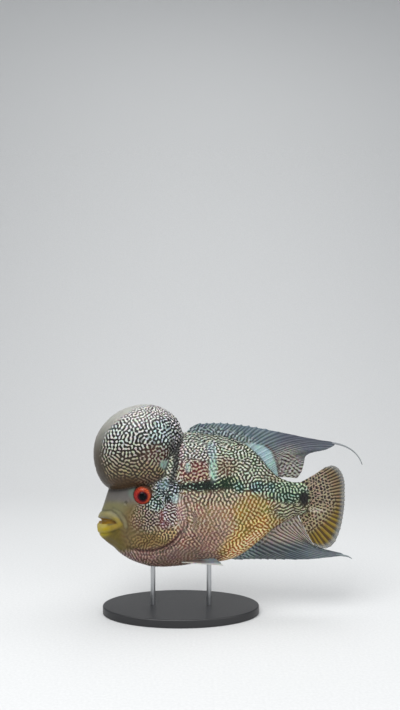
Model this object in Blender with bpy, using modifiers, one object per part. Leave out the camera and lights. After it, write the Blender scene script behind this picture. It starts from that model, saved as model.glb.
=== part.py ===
"""A life-size museum model of a flowerhorn cichlid, held over a flat oval base by two rods.

The fish swims towards -X. Its sizes are in millimetres, with x measured back from the lips,
y across and z up from the lateral midline. Every mesh is made in metres in the model's frame,
whose origin is on the floor, in the middle of the model's length.
"""

import math

import bmesh
import bpy
from mathutils import Matrix, Vector

MM = 0.001

# Driving sizes, in millimetres
GAP = 0.3  # between neighbouring solids
MIDLINE_HEIGHT = 112.0  # of the lateral midline over the floor
MIDDLE_X = 131.4  # of the whole length, back from the lips
BALANCE_X = 84.0  # of the middle of the base, back from the lips

# The trunk: distance back from the lips, height of the back, of the belly, and half width.
TRUNK_STATIONS = (
    (1.0, -16.5, -31.5, 5.0),
    (3.0, -12.5, -35.0, 7.5),
    (6.0, -6.5, -38.0, 10.0),
    (9.0, 3.0, -40.5, 12.0),
    (12.0, 12.0, -43.0, 13.6),
    (17.0, 19.0, -46.5, 15.8),
    (24.0, 26.0, -53.0, 18.5),
    (36.0, 36.0, -60.0, 21.5),
    (52.0, 47.0, -64.8, 24.5),
    (69.0, 60.0, -65.5, 26.5),
    (86.0, 67.0, -64.0, 27.5),
    (104.0, 66.5, -61.2, 27.5),
    (124.0, 64.0, -60.0, 26.0),
    (139.0, 60.0, -56.0, 23.0),
    (151.0, 53.5, -48.5, 19.5),
    (162.0, 43.5, -40.0, 15.5),
    (171.0, 32.5, -32.0, 12.5),
    (181.0, 23.0, -24.5, 9.5),
    (194.0, 18.0, -17.5, 7.0),
    (206.0, 17.0, -14.0, 5.0),
    (212.0, 13.5, -11.5, 3.0),
)
TRUNK_RING = 30  # points round each section
BELLY_FULLNESS = 0.10  # share by which a section widens towards the belly
SECTION_ROUNDNESS = 0.92  # 1 is an ellipse, less is boxier

# The nuchal hump: a round dome on the forehead
HUMP_CENTRE = (42.0, 0.0, 52.3)
HUMP_HALF_WIDTH = 34.0
HUMP_POWER = 2.3  # 2 is an ellipsoid, more is boxier
HUMP_SEGMENTS, HUMP_RINGS = 30, 14
# Its outline from the side: radius at each angle, from the back of the hump over its top
HUMP_OUTLINE = (
    (-13.0, 33.5), (0.0, 38.5), (21.0, 45.7), (47.0, 46.8), (90.0, 42.8), (119.0, 41.5), (146.0, 42.3),
    (170.0, 44.2), (188.0, 45.4), (206.0, 47.5), (221.0, 49.5), (233.0, 49.5), (245.0, 44.8),
    (266.0, 39.4), (290.0, 40.0), (314.0, 40.5), (332.0, 36.5), (347.0, 33.5),
)

# The eyes
EYE_CENTRE = (47.7, 19.4, 8.7)
EYE_RADII = (9.6, 6.2, 9.6)
EYE_TURN = math.radians(9.0)  # towards the front
EYE_SEGMENTS, EYE_RINGS = 18, 9

# The mouth: lips and the gape between them lie along the skin from the front to the corners.
# Each has its x and z, and its radius in front and at the corner.
UPPER_LIP = ((4.6, -15.6), (8.3, -13.6), (12.5, -12.4), (17.6, -13.8), (22.0, -17.3), (24.2, -20.4))
UPPER_LIP_RADII = (3.2, 1.7)
LOWER_LIP = ((4.6, -27.4), (8.7, -26.6), (13.5, -25.8), (19.6, -24.2), (24.2, -21.8))
LOWER_LIP_RADII = (4.5, 1.7)
GAPE = ((2.2, -20.8), (8.0, -20.0), (14.0, -19.4), (19.6, -19.9), (23.6, -21.0))
GAPE_RADII = (3.4, 0.9)
LIP_BOW = 10.0  # how far back the front bow of the lips reaches
LIP_STEPS, LIP_SIDES = 9, 10
JAW_TOP = ((-6.0, -20.6), (6.0, -20.4), (14.0, -19.6), (20.0, -20.2), (25.5, -21.4))
JAW_HINGE = (34.5, -37.0)  # x and z
JAW_BACK = (31.0, -72.0)
NOSTRIL = (30.2, 15.5, 0.4)
NOSTRIL_RADIUS = 1.5

# The gill covers: plates over the cheek, with their outline in x and z
GILL_COVER = (
    (66.3, 10.8), (76.9, 11.8), (83.2, 7.0), (86.6, -0.8), (88.1, -10.4), (87.9, -21.0),
    (83.7, -30.2), (75.0, -37.4), (61.5, -43.3), (47.7, -46.0), (55.5, -40.6), (62.9, -30.7),
    (65.4, -18.1), (65.8, -2.7),
)
GILL_COVER_THICKNESS = 1.3

# Where the trunk is parted
HEAD_EDGE = (
    (87.0, 90.0), (86.0, 60.0), (79.0, 35.0), (81.7, 18.5), (88.5, 7.0), (91.4, -6.6),
    (91.4, -20.0), (87.0, -30.7), (78.0, -39.5), (64.5, -48.0), (50.5, -55.0), (45.0, -75.0),
)
TAIL_CUT_X = 192.0

# Fins. Thicknesses fall from root to margin, and rays stand proud of the membrane.
ROOT_DEPTH = 4.0  # of a fin's root under the skin, before it is trimmed to the skin
RAY_THICKNESS_ROOT, RAY_THICKNESS_TIP = 1.9, 0.8
MEMBRANE_SHARE = 0.5  # of the rays' thickness

# The stand
BASE_LENGTH, BASE_WIDTH, BASE_HEIGHT = 156.0, 92.0, 8.0
BASE_SIDES = 40
ROD_RADIUS = 2.4
ROD_POSITIONS = (56.0, 112.0)  # back from the lips
ROD_SIDES = 16


def in_frame(x, y, z):
    """The model frame's point, in metres, for one measured on the fish in millimetres."""
    return Vector(((x - MIDDLE_X) * MM, y * MM, (z + MIDLINE_HEIGHT) * MM))


def clear_scene():
    """Removes whatever the file opened with."""
    for thing in list(bpy.data.objects):
        bpy.data.objects.remove(thing)


def between(pairs, where):
    """A smooth value at where, through (position, value) pairs in order of position."""
    if where <= pairs[0][0]:
        return pairs[0][1]
    for i in range(len(pairs) - 1):
        (x0, v0), (x1, v1) = pairs[i], pairs[i + 1]
        if where > x1:
            continue
        before = pairs[max(i - 1, 0)]
        after = pairs[min(i + 2, len(pairs) - 1)]
        slope0 = (v1 - before[1]) / (x1 - before[0])
        slope1 = (after[1] - v0) / (after[0] - x0)
        span = x1 - x0
        t = (where - x0) / span
        return (
            v0 * (1 + 2 * t) * (1 - t) ** 2
            + slope0 * span * t * (1 - t) ** 2
            + v1 * t * t * (3 - 2 * t)
            + slope1 * span * t * t * (t - 1)
        )
    return pairs[-1][1]


def column(index):
    """One measure of the trunk's stations against the distance from the lips."""
    return [(row[0], row[index]) for row in TRUNK_STATIONS]


BACK, BELLY, HALF_WIDTH = column(1), column(2), column(3)


def trunk_point(x, angle):
    """A point of the trunk's skin: angle 0 is the back, pi the belly, between them the +Y side."""
    top, bottom = between(BACK, x), between(BELLY, x)
    across, up = math.sin(angle), math.cos(angle)
    half = between(HALF_WIDTH, x) * (1 - BELLY_FULLNESS * up)
    y = half * math.copysign(abs(across) ** SECTION_ROUNDNESS, across)
    return x, y, (top + bottom) / 2 + (top - bottom) / 2 * up


def side_at(x, z):
    """The y of the trunk's skin on the +Y side, at this distance and height."""
    top, bottom = between(BACK, x), between(BELLY, x)
    up = max(-1.0, min(1.0, (z - (top + bottom) / 2) / ((top - bottom) / 2)))
    return trunk_point(x, math.acos(up))[1]


def new_object(name, mesh, collection):
    """Links a new object that holds this mesh."""
    thing = bpy.data.objects.new(name, mesh)
    collection.objects.link(thing)
    return thing


def from_bmesh(name, shape, collection):
    """Turns a bmesh into an object, with its faces pointing out."""
    bmesh.ops.recalc_face_normals(shape, faces=shape.faces)
    mesh = bpy.data.meshes.new(name)
    shape.to_mesh(mesh)
    shape.free()
    return new_object(name, mesh, collection)


def bake(thing):
    """Replaces an object's mesh by what its modifiers make of it."""
    graph = bpy.context.evaluated_depsgraph_get()
    made = bpy.data.meshes.new_from_object(thing.evaluated_get(graph))
    thing.modifiers.clear()
    thing.data = made
    return thing


def keep_largest(thing):
    """Drops every closed surface of the mesh but the one that holds most."""
    shape = bmesh.new()
    shape.from_mesh(thing.data)
    bmesh.ops.remove_doubles(shape, verts=shape.verts, dist=0.00001)
    unseen = set(shape.verts)
    islands = []
    while unseen:
        start = unseen.pop()
        island, edge = {start}, [start]
        while edge:
            vertex = edge.pop()
            for link in vertex.link_edges:
                other = link.other_vert(vertex)
                if other in unseen:
                    unseen.discard(other)
                    island.add(other)
                    edge.append(other)
        islands.append(island)

    def size(island):
        spans = [max(v.co[i] for v in island) - min(v.co[i] for v in island) for i in range(3)]
        return spans[0] * spans[1] + spans[1] * spans[2] + spans[0] * spans[2]

    largest = max(islands, key=size)
    loose = [v for v in shape.verts if v not in largest]
    bmesh.ops.delete(shape, geom=loose, context="VERTS")
    shape.to_mesh(thing.data)
    shape.free()
    return thing


def boolean(thing, others, operation):
    """Joins, cuts or trims an object's mesh by closed meshes, and removes those."""
    tools = bpy.data.collections.new("cutters")
    bpy.context.scene.collection.children.link(tools)
    for other in others:
        for home in list(other.users_collection):
            home.objects.unlink(other)
        tools.objects.link(other)
    step = thing.modifiers.new(operation.lower(), "BOOLEAN")
    step.operation = operation
    step.operand_type = "COLLECTION"
    step.collection = tools
    step.solver = "EXACT"
    bake(thing)
    for other in others:
        bpy.data.objects.remove(other)
    bpy.data.collections.remove(tools)
    return keep_largest(thing)


def trunk_form(name, collection, swell=0.0, first=None, last=None):
    """The whole fish without fins or hump, as one closed loft, swollen outwards by swell.

    first and last limit it to a stretch of the trunk, in millimetres from the lips.
    """
    knots = [row[0] for row in TRUNK_STATIONS]
    places = sorted(knots + [(a + b) / 2 for a, b in zip(knots, knots[1:])])
    if first is not None:
        places = [first] + [x for x in places if x > first + 1]
    if last is not None:
        places = [x for x in places if x < last - 1] + [last]
    shape = bmesh.new()
    rings = []
    for x in places:
        angles = [2 * math.pi * i / TRUNK_RING for i in range(TRUNK_RING)]
        rings.append([shape.verts.new(in_frame(*trunk_point(x, a))) for a in angles])
    for ring, following in zip(rings, rings[1:]):
        for i in range(TRUNK_RING):
            j = (i + 1) % TRUNK_RING
            shape.faces.new((ring[i], ring[j], following[j], following[i]))
    for ring, nudge in ((rings[0], -1.2), (rings[-1], 1.5)):
        middle = sum((v.co for v in ring), Vector()) / TRUNK_RING
        pole = shape.verts.new(middle + Vector((nudge * MM, 0, 0)))
        for i in range(TRUNK_RING):
            shape.faces.new((ring[i], ring[(i + 1) % TRUNK_RING], pole))
    bmesh.ops.recalc_face_normals(shape, faces=shape.faces)
    shape.normal_update()
    for vertex in shape.verts:
        vertex.co += vertex.normal * swell * MM
    return from_bmesh(name, shape, collection)


def ball(name, centre, radii, segments, rings, collection, turn=0.0):
    """A ball with its poles across the fish, turned about the upright."""
    shape = bmesh.new()
    bmesh.ops.create_uvsphere(shape, u_segments=segments, v_segments=rings, radius=1.0)
    bmesh.ops.rotate(shape, verts=shape.verts, matrix=Matrix.Rotation(math.pi / 2, 3, "X"))
    spin = Matrix.Rotation(turn, 3, "Z")
    for vertex in shape.verts:
        scaled = Vector([vertex.co[i] * radii[i] * MM for i in range(3)])
        vertex.co = spin @ scaled + in_frame(*centre)
    return from_bmesh(name, shape, collection)


def dome(name, collection):
    """The hump: round from the front, with its own outline from the side."""
    shape = bmesh.new()
    bmesh.ops.create_uvsphere(shape, u_segments=HUMP_SEGMENTS, v_segments=HUMP_RINGS, radius=1.0)
    bmesh.ops.rotate(shape, verts=shape.verts, matrix=Matrix.Rotation(math.pi / 2, 3, "X"))
    for vertex in shape.verts:
        along, across, up = vertex.co
        flat = math.hypot(along, up)
        swell = (flat**HUMP_POWER + abs(across) ** HUMP_POWER) ** (-1 / HUMP_POWER)
        angle = (math.degrees(math.atan2(up, along)) + 13.0) % 360.0 - 13.0
        reach = between(HUMP_OUTLINE, angle) * swell
        x, z = HUMP_CENTRE[0] + along * reach, HUMP_CENTRE[2] + up * reach
        vertex.co = in_frame(x, across * swell * HUMP_HALF_WIDTH, z)
    return from_bmesh(name, shape, collection)


def prism(name, outline, collection, reach=60.0, side=0):
    """A block whose outline lies in x and z, reaching across both sides of the fish or one."""
    near = -reach if side <= 0 else 2.0
    far = reach if side >= 0 else -2.0
    shape = bmesh.new()
    corners = [shape.verts.new(in_frame(x, near, z)) for x, z in outline]
    face = shape.faces.new(corners)
    pushed = bmesh.ops.extrude_face_region(shape, geom=[face])["geom"]
    moved = [v for v in pushed if isinstance(v, bmesh.types.BMVert)]
    bmesh.ops.translate(shape, verts=moved, vec=(0, (far - near) * MM, 0))
    return from_bmesh(name, shape, collection)


def rounded(outline, steps=2):
    """A closed outline with its corners cut again and again, which rounds them."""
    for _ in range(steps):
        cut = []
        for (x0, z0), (x1, z1) in zip(outline, outline[1:] + outline[:1]):
            cut.append((x0 * 0.75 + x1 * 0.25, z0 * 0.75 + z1 * 0.25))
            cut.append((x0 * 0.25 + x1 * 0.75, z0 * 0.25 + z1 * 0.75))
        outline = cut
    return outline


def tapered_tube(name, points, radii, sides, collection):
    """A closed tube through points in the model frame, with a radius in millimetres at each."""
    shape = bmesh.new()
    rings = []
    for i, point in enumerate(points):
        ahead = points[min(i + 1, len(points) - 1)] - points[max(i - 1, 0)]
        turn = ahead.to_track_quat("Z", "Y").to_matrix()
        ring = []
        for k in range(sides):
            a = 2 * math.pi * k / sides
            spoke = turn @ Vector((math.cos(a), math.sin(a), 0))
            ring.append(shape.verts.new(point + spoke * radii[i] * MM))
        rings.append(ring)
    for ring, following in zip(rings, rings[1:]):
        for k in range(sides):
            j = (k + 1) % sides
            shape.faces.new((ring[k], ring[j], following[j], following[k]))
    shape.faces.new(rings[0])
    shape.faces.new(rings[-1])
    return from_bmesh(name, shape, collection)


def lip(name, line, ends, collection):
    """A bar along a line of the mouth, from corner to corner round the front."""
    front, corner = line[0][0], line[-1][0]
    half, radii = [], []
    for i in range(LIP_STEPS + 1):
        share = i / LIP_STEPS
        x = front + (corner - front) * (1 - math.cos(share * math.pi / 2)) ** 0.9
        z = between(line, x)
        bow = min(1.0, max(0.0, (LIP_BOW - x) / (LIP_BOW - front)))
        radius = ends[0] + (ends[1] - ends[0]) * share ** 1.5
        half.append((x, (side_at(x, z) - radius * 0.45) * math.sqrt(1 - bow ** 2), z))
        radii.append(radius)
    other = [(x, -y, z) for x, y, z in half[:0:-1]]
    points = [in_frame(*p) for p in other + half]
    return tapered_tube(name, points, radii[:0:-1] + radii, LIP_SIDES, collection)


def mirrored(point, side):
    """A point of the +Y side put on the side asked for, +1 or -1."""
    return point[0], point[1] * side, point[2]


def eyeball(name, side, swell, collection):
    """An eye, or with a swell the socket that it sits in."""
    radii = tuple(r + swell for r in EYE_RADII)
    centre = mirrored(EYE_CENTRE, side)
    return ball(name, centre, radii, EYE_SEGMENTS, EYE_RINGS, collection, turn=side * EYE_TURN)


def jaw_outline(shift):
    """The block that the lower jaw fills, lowered by shift."""
    top = [(x - (shift if x > 25.0 else 0.0), z - shift) for x, z in JAW_TOP]
    return top + [
        (JAW_HINGE[0] - shift, JAW_HINGE[1]), (JAW_BACK[0] - shift, JAW_BACK[1]), (-6.0, JAW_BACK[1]),
    ]


def head_outline(shift):
    """The block in front of the gill openings, with its edge moved back by shift."""
    edge = [(x + shift, z) for x, z in HEAD_EDGE]
    return [(-10.0, 90.0)] + edge + [(-10.0, -72.0)]


def build_head(parts):
    """Head with upper lip, lower jaw with lower lip, hump, gill covers and eyes."""
    whole = trunk_form("head_form", parts, last=100.0)
    boolean(whole, [lip("gape", GAPE, GAPE_RADII, parts)], "DIFFERENCE")
    lips = [lip("upper", UPPER_LIP, UPPER_LIP_RADII, parts), lip("lower", LOWER_LIP, LOWER_LIP_RADII, parts)]
    boolean(whole, lips, "UNION")
    cutters = []
    for side in (1, -1):
        cutters.append(eyeball("socket", side, GAP, parts))
        radii = (NOSTRIL_RADIUS, NOSTRIL_RADIUS * 1.6, NOSTRIL_RADIUS)
        x, _, z = NOSTRIL
        place = (x, side * side_at(x, z), z)
        cutters.append(ball("nostril", place, radii, 10, 6, parts))
    boolean(whole, cutters, "DIFFERENCE")
    jaw = new_object("lower_jaw", whole.data.copy(), parts)
    boolean(jaw, [prism("jaw_block", jaw_outline(GAP / 2), parts)], "INTERSECT")
    head = whole
    head.name = "head"
    boolean(head, [prism("head_block", head_outline(0.0), parts)], "INTERSECT")
    boolean(head, [prism("jaw_gap", jaw_outline(-GAP / 2), parts)], "DIFFERENCE")
    hump = dome("nuchal_hump", parts)
    sockets = [eyeball("socket", side, GAP, parts) for side in (1, -1)]
    boolean(hump, [trunk_form("under_hump", parts, swell=GAP, last=110.0)] + sockets, "DIFFERENCE")
    eyes = {}
    covers = {}
    for side, word in ((1, "right"), (-1, "left")):
        eyes[word] = eyeball("eye_" + word, side, 0.0, parts)
        cover = trunk_form("gill_cover_" + word, parts, swell=GAP + GILL_COVER_THICKNESS, last=110.0)
        outline = rounded(list(GILL_COVER), 1)
        boolean(cover, [prism("cover_block", outline, parts, side=side)], "INTERSECT")
        boolean(cover, [trunk_form("under_cover", parts, swell=GAP, last=115.0)], "DIFFERENCE")
        covers[word] = cover
    return head, jaw, hump, eyes, covers


def build_trunk(parts):
    """Torso behind the gill openings, and the tail stem that carries the tail fin."""
    torso = trunk_form("torso", parts)
    tail = new_object("tail_stem", torso.data.copy(), parts)
    boolean(torso, [prism("head_side", head_outline(GAP), parts)], "DIFFERENCE")
    behind = [(TAIL_CUT_X, 90.0), (260.0, 90.0), (260.0, -90.0), (TAIL_CUT_X, -90.0)]
    boolean(torso, [prism("tail_side", behind, parts)], "DIFFERENCE")
    ahead = [(x + GAP, z) for x, z in behind]
    boolean(tail, [prism("tail_block", ahead, parts)], "INTERSECT")
    return torso, tail


STRAIGHT_SPREAD = [(0.0, 0.0), (1.0, 1.0)]


class Fin:
    """A fin as a thin sheet, with its rays as ridges that fan out from the root."""

    def __init__(self, name, root, rays, lengths, angles, bends, free_tip=0.0, rows=8, spread=None):
        self.name = name
        self.root = root  # function of the share along the root that gives a point and its lie
        self.rays = rays
        self.lengths = lengths
        self.angles = angles
        self.bends = bends
        self.free_tip = free_tip
        self.rows = rows
        self.spread = spread or STRAIGHT_SPREAD  # share of the root against share of the rays

    def ray_point(self, share, along, extra=0.0):
        """The point at a share of the root and a share of the ray's length, in its own plane."""
        start = self.root(share)
        length = between(self.lengths, share) + extra
        first = math.radians(between(self.angles, share) + between(self.bends, share) / 2)
        bend = math.radians(between(self.bends, share))
        reach = ROOT_DEPTH + length * along if along > 0 else 0.0
        steps = 12
        x = start[0] - ROOT_DEPTH * math.cos(first)
        z = start[1] - ROOT_DEPTH * math.sin(first)
        for i in range(steps):
            done = (i + 0.5) / steps * reach
            turn = first - bend * max(0.0, done - ROOT_DEPTH) / length
            x += math.cos(turn) * reach / steps
            z += math.sin(turn) * reach / steps
        return x, z

    def sheet(self, place, collection, root_ray=RAY_THICKNESS_ROOT, tip_ray=RAY_THICKNESS_TIP):
        """The solid fin, where place turns a plane point and its shares into fish coordinates."""
        columns = 2 * self.rays - 1
        shape = bmesh.new()
        bmesh.ops.create_grid(shape, x_segments=columns - 1, y_segments=self.rows, size=0.5)
        ridge = []
        shape.verts.ensure_lookup_table()
        for vertex in shape.verts:
            counted, along = vertex.co.x + 0.5, vertex.co.y + 0.5
            share = between(self.spread, counted)
            number = round(counted * (columns - 1))
            on_ray = number % 2 == 0
            extra = between(self.free_tip, share) if on_ray and along > 0.99 and self.free_tip else 0.0
            x, z = self.ray_point(share, along, extra)
            vertex.co = in_frame(*place(x, z, share, along))
            thick = root_ray + (tip_ray - root_ray) * along
            ridge.append(thick / root_ray * (1.0 if on_ray else MEMBRANE_SHARE))
        bmesh.ops.triangulate(shape, faces=shape.faces)
        mesh = bpy.data.meshes.new(self.name)
        shape.to_mesh(mesh)
        shape.free()
        fin = new_object(self.name, mesh, collection)
        group = fin.vertex_groups.new(name="thickness")
        for index, weight in enumerate(ridge):
            group.add([index], max(0.0, min(1.0, weight)), "REPLACE")
        solid = fin.modifiers.new("solid", "SOLIDIFY")
        solid.thickness = root_ray * MM
        solid.offset = 0.0
        solid.vertex_group = "thickness"
        solid.thickness_vertex_group = 0.0
        solid.use_rim = True
        bake(fin)
        return fin


def filament(fin, share, place, length, angle, bend, collection):
    """The free, tapering end of a fin's longest ray, rooted well inside the fin."""
    start = 0.82
    inside = [fin.ray_point(share, start + (1 - start) * i / 4) for i in range(5)]
    x, z = inside[-1]
    steps = 12
    path = list(inside)
    for i in range(steps):
        turn = math.radians(angle - bend * ((i + 0.5) / steps) ** 1.3)
        x += math.cos(turn) * length / steps
        z += math.sin(turn) * length / steps
        path.append((x, z))
    points = [in_frame(*place(px, pz, share, 1.0)) for px, pz in path]
    first, last = 0.75, 0.28
    radii = [first + (last - first) * i / (len(points) - 1) for i in range(len(points))]
    return tapered_tube("filament", points, radii, 6, collection)


def on_back(first_x, last_x):
    """The root of a fin along the back."""
    def place(share):
        x = first_x + (last_x - first_x) * share
        return x, between(BACK, x)
    return place


def on_belly(first_x, last_x):
    """The root of a fin along the belly."""
    def place(share):
        x = first_x + (last_x - first_x) * share
        return x, between(BELLY, x)
    return place


def upright(x, z, share, along):
    """Leaves a fin in the fish's middle plane."""
    return x, 0.0, z


def trim_to_skin(thing, parts):
    """Cuts what lies inside the trunk, and a gap more, from a fin or a rod."""
    return boolean(thing, [trunk_form("skin", parts, swell=GAP)], "DIFFERENCE")


# Share of the root, then length, mean angle over the level and bend of the rays there
DORSAL_LENGTHS = [(0.0, 5.5), (0.03, 10.5), (0.06, 11.7), (0.1, 12.2), (0.15, 13.2), (0.2, 14.0),
                  (0.3, 15.2), (0.4, 16.4), (0.5, 18.2), (0.6, 22.0), (0.66, 27.6), (0.7, 33.6),
                  (0.73, 41.5), (0.76, 51.5), (0.79, 62.5), (0.828, 75.5), (0.862, 65.0),
                  (0.897, 55.0), (0.931, 39.0), (0.966, 31.5), (1.0, 19.0)]
DORSAL_ANGLES = [(0.0, 48.0), (0.1, 49.0), (0.4, 46.0), (0.6, 41.0), (0.66, 34.0), (0.7, 29.0),
                 (0.76, 18.5), (0.828, 13.2), (0.862, 14.0), (0.897, 18.5), (0.931, 25.0),
                 (0.966, 22.0), (1.0, -4.0)]
DORSAL_SPREAD = [(0.0, 0.0), (0.5, 0.76), (1.0, 1.0)]
DORSAL_BENDS = [(0.0, 4.0), (0.6, 8.0), (0.7, 22.0), (0.8, 34.0), (0.9, 34.0), (1.0, 10.0)]
DORSAL_FREE_TIPS = [(0.0, 1.2), (0.5, 1.5), (0.66, 1.0), (0.7, 0.3), (1.0, 0.3)]
ANAL_LENGTHS = [
    (0, 4.2), (0.083, 11), (0.167, 16.5), (0.25, 24), (0.352, 36.5), (0.416, 49.5), (0.5, 64),
    (0.546, 72.5), (0.592, 78), (0.648, 73), (0.703, 65.5), (0.759, 57.5), (0.814, 48.3),
    (0.87, 37.7), (0.925, 24.5), (0.96, 18), (1, 9.5),
]
ANAL_ANGLES = [
    (0, -17), (0.083, -14), (0.167, -20), (0.25, -24.5), (0.352, -24.5), (0.416, -22),
    (0.5, -20), (0.546, -19), (0.592, -18.9), (0.648, -21), (0.703, -25), (0.759, -30.4),
    (0.814, -38.6), (0.87, -47.5), (0.925, -50.5), (0.96, -55), (1, -59),
]
ANAL_BENDS = [
    (0, -4), (0.28, -12), (0.555, -20), (0.648, -26), (0.786, -30), (0.87, -18), (0.925, -10),
    (1, -4),
]
ANAL_FREE_TIPS = [(0.0, 1.0), (0.3, 1.3), (0.45, 0.3), (1.0, 0.3)]
CAUDAL_LENGTHS = [(0.0, 33.8), (0.07, 41.1), (0.14, 43.8), (0.22, 41.2), (0.3, 38.4), (0.4, 36.3),
                  (0.5, 35.8), (0.6, 36.9), (0.7, 39.2), (0.8, 40.2), (0.88, 39.8), (0.95, 36.5),
                  (1.0, 30.5)]
CAUDAL_ANGLES = [(0.0, -60.8), (0.07, -56.5), (0.14, -49.0), (0.22, -36.0), (0.3, -24.2), (0.4, -12.7),
                 (0.5, -0.4), (0.6, 8.6), (0.7, 16.7), (0.8, 23.5), (0.88, 29.2), (0.95, 32.5),
                 (1.0, 31.6)]
CAUDAL_BENDS = [(0.0, -8.0), (0.3, 0.0), (0.8, 0.0), (1.0, -8.0)]
PECTORAL_LENGTHS = [(0.0, 26.0), (0.35, 40.0), (0.6, 43.0), (1.0, 28.0)]
PECTORAL_ANGLES = [(0.0, -62.0), (0.5, -16.0), (1.0, 28.0)]
PELVIC_LENGTHS = [(0.0, 41.0), (0.35, 33.0), (1.0, 16.0)]
PELVIC_ANGLES = [(0.0, -4.0), (1.0, 14.0)]
STRAIGHT = [(0.0, 0.0), (1.0, 0.0)]


def build_middle_fins(parts):
    """Dorsal, anal and tail fins, which stand in the middle plane."""
    dorsal = Fin("dorsal_fin", on_back(89.0, 181.0), 26, DORSAL_LENGTHS, DORSAL_ANGLES,
                 DORSAL_BENDS, DORSAL_FREE_TIPS, rows=7, spread=DORSAL_SPREAD)
    back = dorsal.sheet(upright, parts)
    boolean(back, [filament(dorsal, 0.828, upright, 37.5, -10.0, 64.0, parts)], "UNION")
    trim_to_skin(back, parts)
    anal = Fin("anal_fin", on_belly(133.0, 200.0), 22, ANAL_LENGTHS, ANAL_ANGLES,
               ANAL_BENDS, ANAL_FREE_TIPS, rows=7)
    under = anal.sheet(upright, parts)
    boolean(under, [filament(anal, 0.592, upright, 9.0, -6.0, 34.0, parts)], "UNION")
    trim_to_skin(under, parts)

    def tail_root(share):
        return 202.0 + 9.5 * math.sin(math.pi * share) ** 0.8, -16.0 + 32.5 * share

    caudal = Fin("caudal_fin", tail_root, 17, CAUDAL_LENGTHS, CAUDAL_ANGLES, CAUDAL_BENDS, rows=7)
    tail = trim_to_skin(caudal.sheet(upright, parts, root_ray=2.6, tip_ray=0.9), parts)
    return back, under, tail


PECTORAL_ROOT = (95.5, -14.0)  # x and z of the middle of its root
PECTORAL_ROOT_SPAN = 13.0
PECTORAL_FLARE = math.radians(24.0)  # away from the flank
PELVIC_ROOT = (85.0, -55.5)
PELVIC_ROOT_SPAN = 7.0
PELVIC_HALF_SPREAD = 13.5  # of the two roots
PELVIC_FLARE = math.radians(2.0)
PELVIC_ROLL = math.radians(52.0)  # of the fin's plane, from level


def build_paired_fins(parts):
    """Pectoral and pelvic fins of both sides."""
    made = {}
    for side, word in ((1, "right"), (-1, "left")):
        def pectoral_root(share):
            return 1.5 * math.sin(math.pi * share), PECTORAL_ROOT_SPAN * (share - 0.5)

        def pectoral_place(x, z, share, along, side=side):
            curl = 0.006 * max(0.0, x) ** 2
            root_x, root_z = PECTORAL_ROOT
            y = side_at(root_x, root_z) + x * math.sin(PECTORAL_FLARE) - curl * 0.6
            return root_x + x * math.cos(PECTORAL_FLARE), side * y, root_z + z

        pectoral = Fin("pectoral_fin_" + word, pectoral_root, 12, PECTORAL_LENGTHS,
                       PECTORAL_ANGLES, STRAIGHT, rows=5)
        made["pectoral_fin_" + word] = trim_to_skin(
            pectoral.sheet(pectoral_place, parts, root_ray=1.8, tip_ray=0.9), parts)

        def pelvic_root(share):
            return 1.0 * share, PELVIC_ROOT_SPAN * (share - 0.5)

        def pelvic_place(x, z, share, along, side=side):
            root_x, root_z = PELVIC_ROOT
            across = -z * math.cos(PELVIC_ROLL) + x * math.sin(PELVIC_FLARE)
            return root_x + x, side * (PELVIC_HALF_SPREAD + across), root_z + z * math.sin(PELVIC_ROLL)

        pelvic = Fin("pelvic_fin_" + word, pelvic_root, 7, PELVIC_LENGTHS, PELVIC_ANGLES,
                     STRAIGHT, rows=7)
        made["pelvic_fin_" + word] = trim_to_skin(
            pelvic.sheet(pelvic_place, parts, root_ray=1.9, tip_ray=0.9), parts)
    return made


def build_stand(parts):
    """The oval base, and the two rods that reach up to the belly."""
    shape = bmesh.new()
    bmesh.ops.create_cone(shape, cap_ends=True, segments=BASE_SIDES, radius1=0.5, radius2=0.5, depth=1.0)
    for vertex in shape.verts:
        vertex.co.x = (vertex.co.x * BASE_LENGTH + BALANCE_X - MIDDLE_X) * MM
        vertex.co.y *= BASE_WIDTH * MM
        vertex.co.z = (vertex.co.z + 0.5) * BASE_HEIGHT * MM
    base = from_bmesh("stand_base", shape, parts)
    edge = base.modifiers.new("edge", "BEVEL")
    edge.width = 1.2 * MM
    edge.segments = 1
    edge.limit_method = "ANGLE"
    edge.angle_limit = math.radians(60.0)
    bake(base)
    rods = []
    foot = BASE_HEIGHT + GAP
    for number, x in enumerate(ROD_POSITIONS, start=1):
        top = MIDLINE_HEIGHT + between(BELLY, x) + 6.0
        shape = bmesh.new()
        bmesh.ops.create_cone(shape, cap_ends=True, segments=ROD_SIDES, radius1=ROD_RADIUS * MM,
                              radius2=ROD_RADIUS * MM, depth=(top - foot) * MM)
        middle = ((x - MIDDLE_X) * MM, 0, (top + foot) / 2 * MM)
        bmesh.ops.translate(shape, verts=shape.verts, vec=middle)
        rod = from_bmesh(f"stand_rod_{number}", shape, parts)
        rods.append(trim_to_skin(rod, parts))
    return base, rods


def material(name, colour, roughness, metallic=0.0):
    """A plain finish for the source model."""
    made = bpy.data.materials.new(name)
    made.use_nodes = True
    shader = made.node_tree.nodes["Principled BSDF"]
    shader.inputs["Base Color"].default_value = (*colour, 1.0)
    shader.inputs["Roughness"].default_value = roughness
    shader.inputs["Metallic"].default_value = metallic
    return made


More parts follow.
